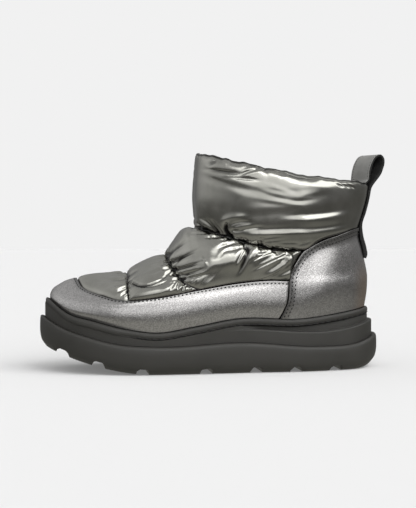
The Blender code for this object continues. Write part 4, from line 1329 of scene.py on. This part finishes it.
def build_leather_panel(panel, leather):
    """One leather panel with its thickness and rounded edges: its piece, and the points of its face."""
    points = leather_grid(panel)
    bm = bmesh.new()
    # Painted shade near the sewn edges, kept on the points
    hem = bm.verts.layers.float.new("hem")
    for vert, value in zip(bent_grid(bm, points), hem_shade(points, panel).reshape(-1)):
        vert[hem] = value
    settle(bm)
    face = min(bm.faces, key=lambda f: f.calc_center_median().y)
    if face.normal.y > 0:
        bmesh.ops.reverse_faces(bm, faces=bm.faces)
    bmesh.ops.solidify(bm, geom=bm.faces[:], thickness=LEATHER)
    rim = [edge for edge in bm.edges if edge.is_manifold and edge.calc_face_angle() > CUT_EDGE_ANGLE]
    bmesh.ops.bevel(
        bm, geom=rim, offset=EDGE_BEVEL, segments=2, profile=0.5, affect="EDGES", material=-1
    )
    settle(bm)
    return piece(panel.name, bm, (leather,), (panel.node,)), points


def bent_piece(name, points, material, replaced, sharp=None):
    """A closed piece bent from one grid."""
    bm = bmesh.new()
    bent_grid(bm, points)
    settle(bm)
    piece(name, bm, (material,), replaced, sharp)


def slab(rows):
    """A sole layer: rings from the bottom up, closed across its underside and its top."""
    outer, inner = (np.array([row[index] for row in rows]) for index in (0, 1))
    share = np.linspace(0, 1, CROSS_STEPS + 1)[1:-1, None, None]
    top = outer[-1] + (inner[-1] - outer[-1]) * share
    bottom = inner[0] + (outer[0] - inner[0]) * share
    return np.concatenate([outer, top, inner[::-1], bottom, outer[:1]])


def sole_turns():
    """Stations round half the sole's plan: even ones, and ones at each edge of the tread's gaps."""
    turn = np.linspace(0, math.pi, PLAN_SAMPLES)
    x, _ = oval(SOLE_FRONT, SOLE_BACK, SOLE_HALF_WIDTH, BALL, SOLE_NOSE, SOLE_SEAT, turn)
    cuts = [(gap, width) for gap in LUG_GAPS for width in (LUG_GAP_BOTTOM, LUG_GAP_TOP)]
    cuts += [(sipe, width) for sipe in sipe_places() for width in (SIPE_WIDTH, SIPE_WIDTH / 2)]
    edges = np.array([place + side * width / 2 for place, width in cuts for side in SIDES])
    drawn = 1 - OUTSOLE_WALL[0].inset / ((SOLE_BACK - SOLE_FRONT) / 2)
    middle = (SOLE_FRONT + SOLE_BACK) / 2
    placed = np.interp(middle + (edges - middle) / drawn, x, turn)
    even = np.linspace(0, math.pi, SOLE_STATIONS + 1)
    spacing = np.min(np.abs(even[:, None] - placed[None, :]), axis=1)
    clear = spacing > LEAST_SPACING * math.pi / SOLE_STATIONS
    clear[[0, -1]] = True
    return np.sort(np.concatenate([even[clear], placed]))


def sipe_places():
    """Places of the fine slits across the lugs."""
    places = []
    for front, back in zip(LUG_GAPS, LUG_GAPS[1:]):
        start, end = front + LUG_GAP_BOTTOM / 2, back - LUG_GAP_BOTTOM / 2
        places += list(np.linspace(start, end, SIPES_PER_LUG + 2)[1:-1])
    return places


def tread_cut(x, y):
    """Depth of the tread under each place: gaps across, slits across the lugs and a groove along."""
    slope = (LUG_GAP_BOTTOM - LUG_GAP_TOP) / 2
    depth = np.zeros_like(x)
    for gap in LUG_GAPS:
        inside = (LUG_GAP_BOTTOM / 2 - np.abs(x - gap)) / slope
        depth = np.maximum(depth, LUG_DEPTH * np.clip(inside, 0, 1))
    for sipe in sipe_places():
        inside = (SIPE_WIDTH / 2 - np.abs(x - sipe)) / (SIPE_WIDTH / 4)
        reach = (SIPE_REACH - np.abs(y)) / slope
        depth = np.maximum(depth, SIPE_DEPTH * np.clip(inside, 0, 1) * np.clip(reach, 0, 1))
    start, end = CENTRE_GROOVE_ENDS
    along = np.clip((x - start) / slope, 0, 1) * np.clip((end - x) / slope, 0, 1)
    inside = (CENTRE_GROOVE_WIDTH / 2 - np.abs(y)) / slope
    return np.maximum(depth, LUG_DEPTH * np.clip(inside, 0, 1) * along)


def sole_row(turn, inset_of, z_of):
    """One ring of a sole layer on both sides: the outsole's plan drawn in, at a height found from x."""
    middle = (SOLE_FRONT + SOLE_BACK) / 2
    x, half = oval(SOLE_FRONT, SOLE_BACK, SOLE_HALF_WIDTH, BALL, SOLE_NOSE, SOLE_SEAT, turn)
    inset = inset_of(x)
    drawn_x = middle + (x - middle) * (1 - inset / (SOLE_BACK - middle))
    halves = []
    for side in SIDES:
        y = foot_side(side, x, half) * (1 - inset / SOLE_PLAN_HALF)
        halves.append(np.stack([drawn_x, y, z_of(drawn_x)], axis=1))
    return halves


def outsole_wall(step):
    """Inset and height of one row of the outsole's wall, found from x."""
    return (
        lambda x: np.full_like(x, step.inset),
        lambda x: bottom_z(x) + step.share * (outsole_top_z(x) - bottom_z(x)),
    )


def build_outsole(rubber):
    """The outsole with its lugs, gaps and fine slits."""
    turn = sole_turns()
    points = slab([sole_row(turn, *outsole_wall(step)) for step in OUTSOLE_WALL])
    x, y, z = points[..., 0], points[..., 1], points[..., 2]
    points[..., 2] = np.maximum(z, bottom_z(x) + tread_cut(x, y))
    bent_piece("lugged_outsole", points, rubber, ("outsole",), SOLE_SHARP)


def midsole_bottom_z(x):
    return outsole_top_z(x) + GAP


def midsole_step_z(x):
    """Height of the step between the midsole's tiers."""
    lowest, highest = midsole_bottom_z(x) + MIDSOLE_LEAST_TIER, midsole_top_z(x) - MIDSOLE_LEAST_TIER
    return np.clip(smooth(MIDSOLE_STEP, x), lowest, highest)


def midsole_wall(tier):
    """Inset and height of one row of the midsole's wall, found from x: it draws in from waist to heel."""
    line = {"bottom": midsole_bottom_z, "step": midsole_step_z, "top": midsole_top_z}[tier.line]
    depth = tier.depth * MIDSOLE_STEP_DEPTH + tier.inset * MIDSOLE_ROUNDING
    return (
        lambda x: MIDSOLE_INSET + depth * ease((x - MIDSOLE_STEP_START) / MIDSOLE_STEP_LENGTH),
        lambda x: line(x) + tier.lift * MIDSOLE_ROUNDING,
    )


def build_midsole(rubber):
    """The cushion layer: one wall at the forefoot, two tiers from the waist to the heel."""
    turn = np.linspace(0, math.pi, SOLE_STATIONS + 1)
    points = slab([sole_row(turn, *midsole_wall(tier)) for tier in MIDSOLE_WALL])
    bent_piece("tiered_midsole", points, rubber, ("midsole",), SOLE_SHARP)


def welt_row(points, rise, drop=0.0):
    """Points moved to a share of the height between the midsole and the feather line."""
    low = midsole_top_z(points[:, 0]) + SEAT_GAP - drop
    return np.stack([points[:, 0], points[:, 1], low + rise * (feather_z(points[:, 0]) - low)], axis=1)


def welt_ring():
    """The welt's inner edge round the boot, and the level direction out of it."""
    halves = []
    for side in SIDES:
        along = np.linspace(0, 1, SOLE_STATIONS + 1)
        halves.append(off_last(side, along, np.full_like(along, FEATHER_LEVEL), np.full_like(along, GAP)))
    ring = around(halves[0][None], halves[1][None])[0]
    ahead = np.roll(ring[:-1], -1, axis=0) - np.roll(ring[:-1], 1, axis=0)
    normal = unit(np.stack([-ahead[:, 1], ahead[:, 0], np.zeros(len(ahead))], axis=1))
    return ring, np.concatenate([normal, normal[:1]])


def build_welt(rubber, thread):
    """The bead round the foot of the leather, with a groove for its stitches."""
    ring, normal = welt_ring()
    plain = ease((WELT_GROOVE_START - ring[:, :1]) / WELT_GROOVE_FADE)
    rows = []
    for step in WELT_WALL:
        width = step.width + plain * (step.toe_width - step.width)
        outside = ring + normal * WELT_THICKNESS * width
        rows.append(welt_row(outside, step.rise, plain[:, 0] * WELT_TOE_DROP))
    bent_piece("stitched_welt", np.array([*rows, rows[0]]), rubber, ("welt",))
    line = welt_row(ring + normal * WELT_THICKNESS * WELT_LINE.width, WELT_LINE.rise)
    stitches = bmesh.new()
    for side in SIDES:
        chosen = (line[:, 0] > WELT_THREAD_START) & (line[:, 1] * side > 0)
        sew(stitches, line[chosen], normal[chosen], WELT_THREAD)
    settle(stitches)
    piece("welt_stitches", stitches, (thread,))


def sew(bm, line, normals, thread):
    """A row of stitches along a line on a surface."""
    length = np.concatenate([[0], np.cumsum(np.linalg.norm(np.diff(line, axis=0), axis=1))])
    places = np.arange(thread.pitch / 2, length[-1] - thread.pitch / 4, thread.pitch)

    def at(values, where):
        return np.stack([np.interp(where, length, column) for column in values.T], axis=1)

    middles = at(line, places) + FRAME_SHIFT
    ahead = unit(at(line, places + thread.pitch / 4) - at(line, places - thread.pitch / 4))
    out = unit(at(normals, places))
    for middle, along, up in zip(middles, ahead, out):
        across = np.cross(up, along)
        axes = (along * thread.length / 2, across * thread.width / 2, up * thread.width * STITCH_RISE)
        matrix = Matrix([[*row] for row in np.stack([*axes, middle], axis=1)] + [[0, 0, 0, 1]])
        bmesh.ops.create_uvsphere(
            bm, u_segments=STITCH_SEGMENTS[0], v_segments=STITCH_SEGMENTS[1], radius=1.0, matrix=matrix
        )


def inset_line(points, distance):
    """Line at a distance under the top row of a grid, measured down its columns, and its normals."""
    down = points[::-1]
    steps = np.linalg.norm(np.diff(down, axis=0), axis=-1)
    length = np.concatenate([np.zeros((1, steps.shape[1])), np.cumsum(steps, axis=0)])
    row = np.clip(np.sum(length < distance, axis=0), 1, len(length) - 1)
    columns = np.arange(points.shape[1])
    low, high = length[row - 1, columns], length[row, columns]
    share = ((distance - low) / (high - low))[:, None]
    line = down[row - 1, columns] * (1 - share) + down[row, columns] * share
    across = np.gradient(line, axis=0)
    fall = down[row, columns] - down[row - 1, columns]
    return line, unit(np.cross(across, fall))


def counter_line(tree, side, distance):
    """Line behind the counter's edge on one side, found on the panel, and its normals."""
    x = np.linspace(COUNTER_EDGE[0].x, COUNTER_EDGE[-1].x, COUNTER_LINE_SAMPLES)
    z = smooth(COUNTER_EDGE, x)
    ahead = unit(np.stack([np.gradient(x), np.gradient(z)], axis=1))
    x, z = x + ahead[:, 1] * distance, z - ahead[:, 0] * distance
    line, normals = [], []
    for place_x, place_z in zip(x, z):
        start = Vector((place_x + FRAME_SHIFT[0], side * BESIDE_BOOT, place_z))
        place, normal, _, _ = tree.ray_cast(start, Vector((0, -side, 0)))
        if place is not None and place_z > float(feather_z(place_x)) + STITCH_CLEARANCE:
            line.append(np.array(place) - FRAME_SHIFT)
            normals.append(np.array(normal))
    return np.array(line), np.array(normals)


def build_leather(thread):
    """Mudguard and heel counter with their rows of stitches."""
    leather = metallic_leather()
    _, mudguard = build_leather_panel(MUDGUARD, leather)
    counter, _ = build_leather_panel(COUNTER, leather)
    stitches = bmesh.new()
    sew(stitches, *inset_line(mudguard, MUDGUARD_THREAD.inset), MUDGUARD_THREAD)
    counter_bm = bmesh.new()
    counter_bm.from_mesh(counter.data)
    tree = BVHTree.FromBMesh(counter_bm)
    counter_bm.free()
    for thread_row in COUNTER_THREADS:
        for side in SIDES:
            sew(stitches, *counter_line(tree, side, thread_row.inset), thread_row)
    settle(stitches)
    piece("leather_stitches", stitches, (thread,))


def build_insole():
    """The footbed, cut to the inside of the wall, with a soft rounded edge."""
    along = np.linspace(0, 1, SOLE_STATIONS + 1)
    inset = np.full_like(along, -(LEATHER + LINING + 3 * GAP))
    rows = []
    for layer in FOOTBED_WALL:
        halves = []
        for side in SIDES:
            ring = off_last(side, along, np.full_like(along, layer.share * FEATHER_LEVEL), inset)
            ring[:, :2] *= layer.draw
            ring[:, 2] = midsole_top_z(ring[:, 0]) + layer.lift
            halves.append(ring)
        rows.append(halves)
    bent_piece("footbed", slab(rows), footbed_cloth(), ("insole",))


def strap_stations():
    """Evenly spaced places along the strap: x, z, thickness and the direction out of its face."""
    table = np.array(STRAP_LINE)
    length = np.concatenate([[0], np.cumsum(np.linalg.norm(np.diff(table[:, :2], axis=0), axis=1))])
    even = np.linspace(0, length[-1], STRAP_STATIONS)
    x, z, thickness = (smooth(np.stack([length, column], axis=1), even) for column in table.T)
    dx, dz = np.gradient(x), np.gradient(z)
    size = np.hypot(dx, dz)
    return x, z, thickness, -dz / size, dx / size


def strap_point(station, across, face):
    """A point of the strap: across it from -1 to 1, on its face from -0.5 to 0.5."""
    x, z, thickness, out_x, out_z = station
    in_front = np.arange(len(z)) < np.argmax(z)
    start, full = (np.where(in_front, *legs) for legs in zip(STRAP_FRONT_TURN, STRAP_BACK_TURN))
    share = ease((z - start) / (full - start))
    turn = STRAP_TURN * share
    reach = across * STRAP_WIDTH / 2
    forward = face * thickness * out_x - STRAP_CUP * (1 - share) * reach**2
    return np.stack(
        np.broadcast_arrays(
            x + forward * np.cos(turn) - reach * np.sin(turn),
            reach * np.cos(turn) + forward * np.sin(turn),
            z + face * thickness * out_z,
        ),
        axis=-1,
    )


def build_pull_loop(thread):
    """A folded strap: leather outside, black backing inside, sewn along both edges."""
    stations = strap_stations()
    flat = np.linspace(-STRAP_CORNER, STRAP_CORNER, STRAP_STEPS + 1)
    loop = [(across, 0.5) for across in flat] + [(1.0, face) for face in STRAP_EDGE]
    loop += [(-across, -0.5) for across in flat] + [(-1.0, -face) for face in STRAP_EDGE]
    loop.append(loop[0])
    points = np.array([strap_point(stations, across, face) for across, face in loop])
    middle = np.array([strap_point(stations, across, 0.0) for across, _ in loop])
    points = np.concatenate([middle[:, :1], points, middle[:, -1:]], axis=1)
    bm = bmesh.new()
    bent_grid(bm, points)
    columns = points.shape[1] - 1
    for index, face in enumerate(bm.faces):
        face.material_index = int(STRAP_STEPS <= index // columns)
    settle(bm)
    piece("strap_loop", bm, (strap_leather(), strap_lining()), ("pull_loop",))
    stitches = bmesh.new()
    edge = 1 - STRAP_THREAD.inset / (STRAP_WIDTH / 2)
    for across in (-edge, edge):
        line = strap_point(stations, across, 0.5)
        sew(stitches, line, line - strap_point(stations, across, 0.0), STRAP_THREAD)
    settle(stitches)
    piece("strap_stitches", stitches, (thread,))


# Stage and light: what the eye sees behind the boot, and what the boot reflects
BACKDROP_GREY = 0.88
FLOOR_SIZE = 12.0
FLOOR_DROP = 0.0003
FLOOR_GLOW = 0.15
FLOOR_ALBEDO = 0.60
FLOOR_NEAR, FLOOR_FAR = 0.07, 0.42
FLOOR_REFLECTED_NEAR, FLOOR_REFLECTED_FAR = (0.460, 0.454, 0.415), (0.165, 0.163, 0.155)
FLOOR_SUN = 0.52
FLOOR_SUN_FROM = (0.45, -0.75, 1.1)
FLOOR_SUN_SPREAD = math.radians(40)
ROOM_DARK = 0.20
ROOM_ABOVE = 0.42
ROOM_LEFT = 0.42
ROOM_ABOVE_FADE = (0.0, 0.8)
ROOM_LEFT_FADE = (-0.25, -0.95)
Softbox = namedtuple("Softbox", "azimuth elevation roll width height softness radiance")
SOFTBOXES = (
    Softbox(-2, 28.5, 0, 0.36, 0.44, 0.09, 1.2),
    Softbox(18, 13, 0, 0.17, 0.16, 0.10, 0.9),
    Softbox(46, 42, 8, 0.52, 0.34, 0.11, 3.0),
    Softbox(0, 44, 0, 0.28, 0.13, 0.10, 1.3),
)


def floor_sun():
    """Even light of the floor alone, from the front right."""
    lamp = bpy.data.lights.new("floor_sun", "SUN")
    lamp.energy = FLOOR_SUN
    lamp.angle = FLOOR_SUN_SPREAD
    made = bpy.data.objects.new("floor_sun", lamp)
    made.rotation_euler = (-Vector(FLOOR_SUN_FROM)).to_track_quat("-Z", "Y").to_euler()
    bpy.context.scene.collection.objects.link(made)
    return made


def build_stage():
    """Pale floor that shows soft shade under the boot."""
    bm = bmesh.new()
    bmesh.ops.create_grid(bm, x_segments=1, y_segments=1, size=FLOOR_SIZE / 2)
    bmesh.ops.translate(bm, verts=bm.verts, vec=(0, 0, -FLOOR_DROP))
    mesh = bpy.data.meshes.new("floor")
    bm.to_mesh(mesh)
    bm.free()
    floor = bpy.data.objects.new("floor", mesh)
    bpy.context.scene.collection.objects.link(floor)
    mesh.materials.append(floor_paper())
    sunlit = bpy.data.collections.new("lit_by_floor_sun")
    sunlit.objects.link(floor)
    floor_sun().light_linking.receiver_collection = sunlit


def floor_paper():
    """Pale paper: bright to the eye, with the shade of the room's light, and dimmer in reflections."""
    made = bpy.data.materials.new("floor_paper")
    made.use_nodes = True
    made.node_tree.nodes.clear()
    tree = Value(made.node_tree)
    glow = tree.node("ShaderNodeEmission", None, {"Color": (1, 1, 1, 1), "Strength": FLOOR_GLOW})
    albedo = (FLOOR_ALBEDO, FLOOR_ALBEDO, FLOOR_ALBEDO, 1)
    matt = tree.node("ShaderNodeBsdfDiffuse", None, {"Color": albedo})
    bright = tree.node("ShaderNodeAddShader", None, {0: glow, 1: matt})
    place = tree.node("ShaderNodeNewGeometry", output="Position")
    distance = tree.node("ShaderNodeVectorMath", {"operation": "LENGTH"}, {0: place}, output="Value")
    fade = blend(ranged(distance, FLOOR_NEAR, FLOOR_FAR), FLOOR_REFLECTED_NEAR, FLOOR_REFLECTED_FAR)
    dim = tree.node("ShaderNodeEmission", None, {"Color": fade, "Strength": 1.0})
    seen = tree.node("ShaderNodeLightPath", output="Is Camera Ray")
    mixed = tree.node("ShaderNodeMixShader", None, {0: seen, 1: dim, 2: bright})
    tree.node("ShaderNodeOutputMaterial", None, {"Surface": mixed})
    return made


def softbox_glow(tree, way, box):
    """Light of one soft box on the room: a rolled rectangle round its middle, with soft edges."""
    azimuth, elevation = math.radians(box.azimuth), math.radians(box.elevation)
    level = math.cos(elevation)
    middle = Vector((math.sin(azimuth) * level, -math.cos(azimuth) * level, math.sin(elevation)))
    right = Vector((math.cos(azimuth), math.sin(azimuth), 0))
    right.rotate(Matrix.Rotation(-math.radians(box.roll), 3, middle))
    ahead, across, up = (
        tree.node("ShaderNodeVectorMath", {"operation": "DOT_PRODUCT"}, {0: way, 1: axis}, output="Value")
        for axis in (middle, right, right.cross(-middle))
    )
    glow = tree.math("GREATER_THAN", ahead, 0.0) * box.radiance
    for offset, half in ((across, box.width), (up, box.height)):
        away = tree.math("ABSOLUTE", tree.math("DIVIDE", offset, ahead), 0.0)
        glow = glow * ranged(away, half - box.softness, half + box.softness, 1.0, 0.0)
    return glow


def build_room():
    """World light: pale to the eye; in reflections bright above, dimmer on the left, dark on the right."""
    world = bpy.data.worlds.new("room")
    bpy.context.scene.world = world
    world.use_nodes = True
    world.node_tree.nodes.clear()
    tree = Value(world.node_tree)
    way = tree.node("ShaderNodeTexCoord", output="Generated")
    across, up = (way.node("ShaderNodeSeparateXYZ", None, {0: way}, output=axis) for axis in ("X", "Z"))
    shade = ROOM_DARK + ranged(up, *ROOM_ABOVE_FADE, 0.0, ROOM_ABOVE)
    shade = shade + ranged(across, *ROOM_LEFT_FADE, 0.0, ROOM_LEFT)
    for box in SOFTBOXES:
        shade = shade + softbox_glow(tree, way, box)
    seen = tree.node("ShaderNodeLightPath", output="Is Camera Ray")
    level = shade * (1 - seen) + seen * BACKDROP_GREY
    glow = tree.node("ShaderNodeBackground", None, {"Color": level, "Strength": 1.0})
    tree.node("ShaderNodeOutputWorld", None, {"Surface": glow})


def build_camera():
    camera = bpy.data.cameras.new("camera")
    camera.sensor_fit = "VERTICAL"
    camera.sensor_height = SENSOR
    camera.lens = FOCAL_PIXELS / PICTURE_HEIGHT * SENSOR
    made = bpy.data.objects.new("camera", camera)
    ahead = Vector((-math.sin(CAMERA_AZIMUTH), math.cos(CAMERA_AZIMUTH), 0))
    made.location = Vector((CAMERA_TARGET.x, 0, CAMERA_HEIGHT)) - ahead * CAMERA_DISTANCE
    made.rotation_euler = (CAMERA_TARGET - made.location).to_track_quat("-Z", "Y").to_euler()
    bpy.context.scene.collection.objects.link(made)
    bpy.context.scene.camera = made


def main():
    rubber, thread = sole_rubber(), dark_thread()
    build_camera()
    build_room()
    build_outsole(rubber)
    build_midsole(rubber)
    build_welt(rubber, thread)
    build_insole()
    build_leather(thread)
    build_pull_loop(thread)
    build_upper()
    build_stage()
    bpy.context.scene.view_settings.view_transform = "Standard"


main()
bpy.context.view_layer.update()
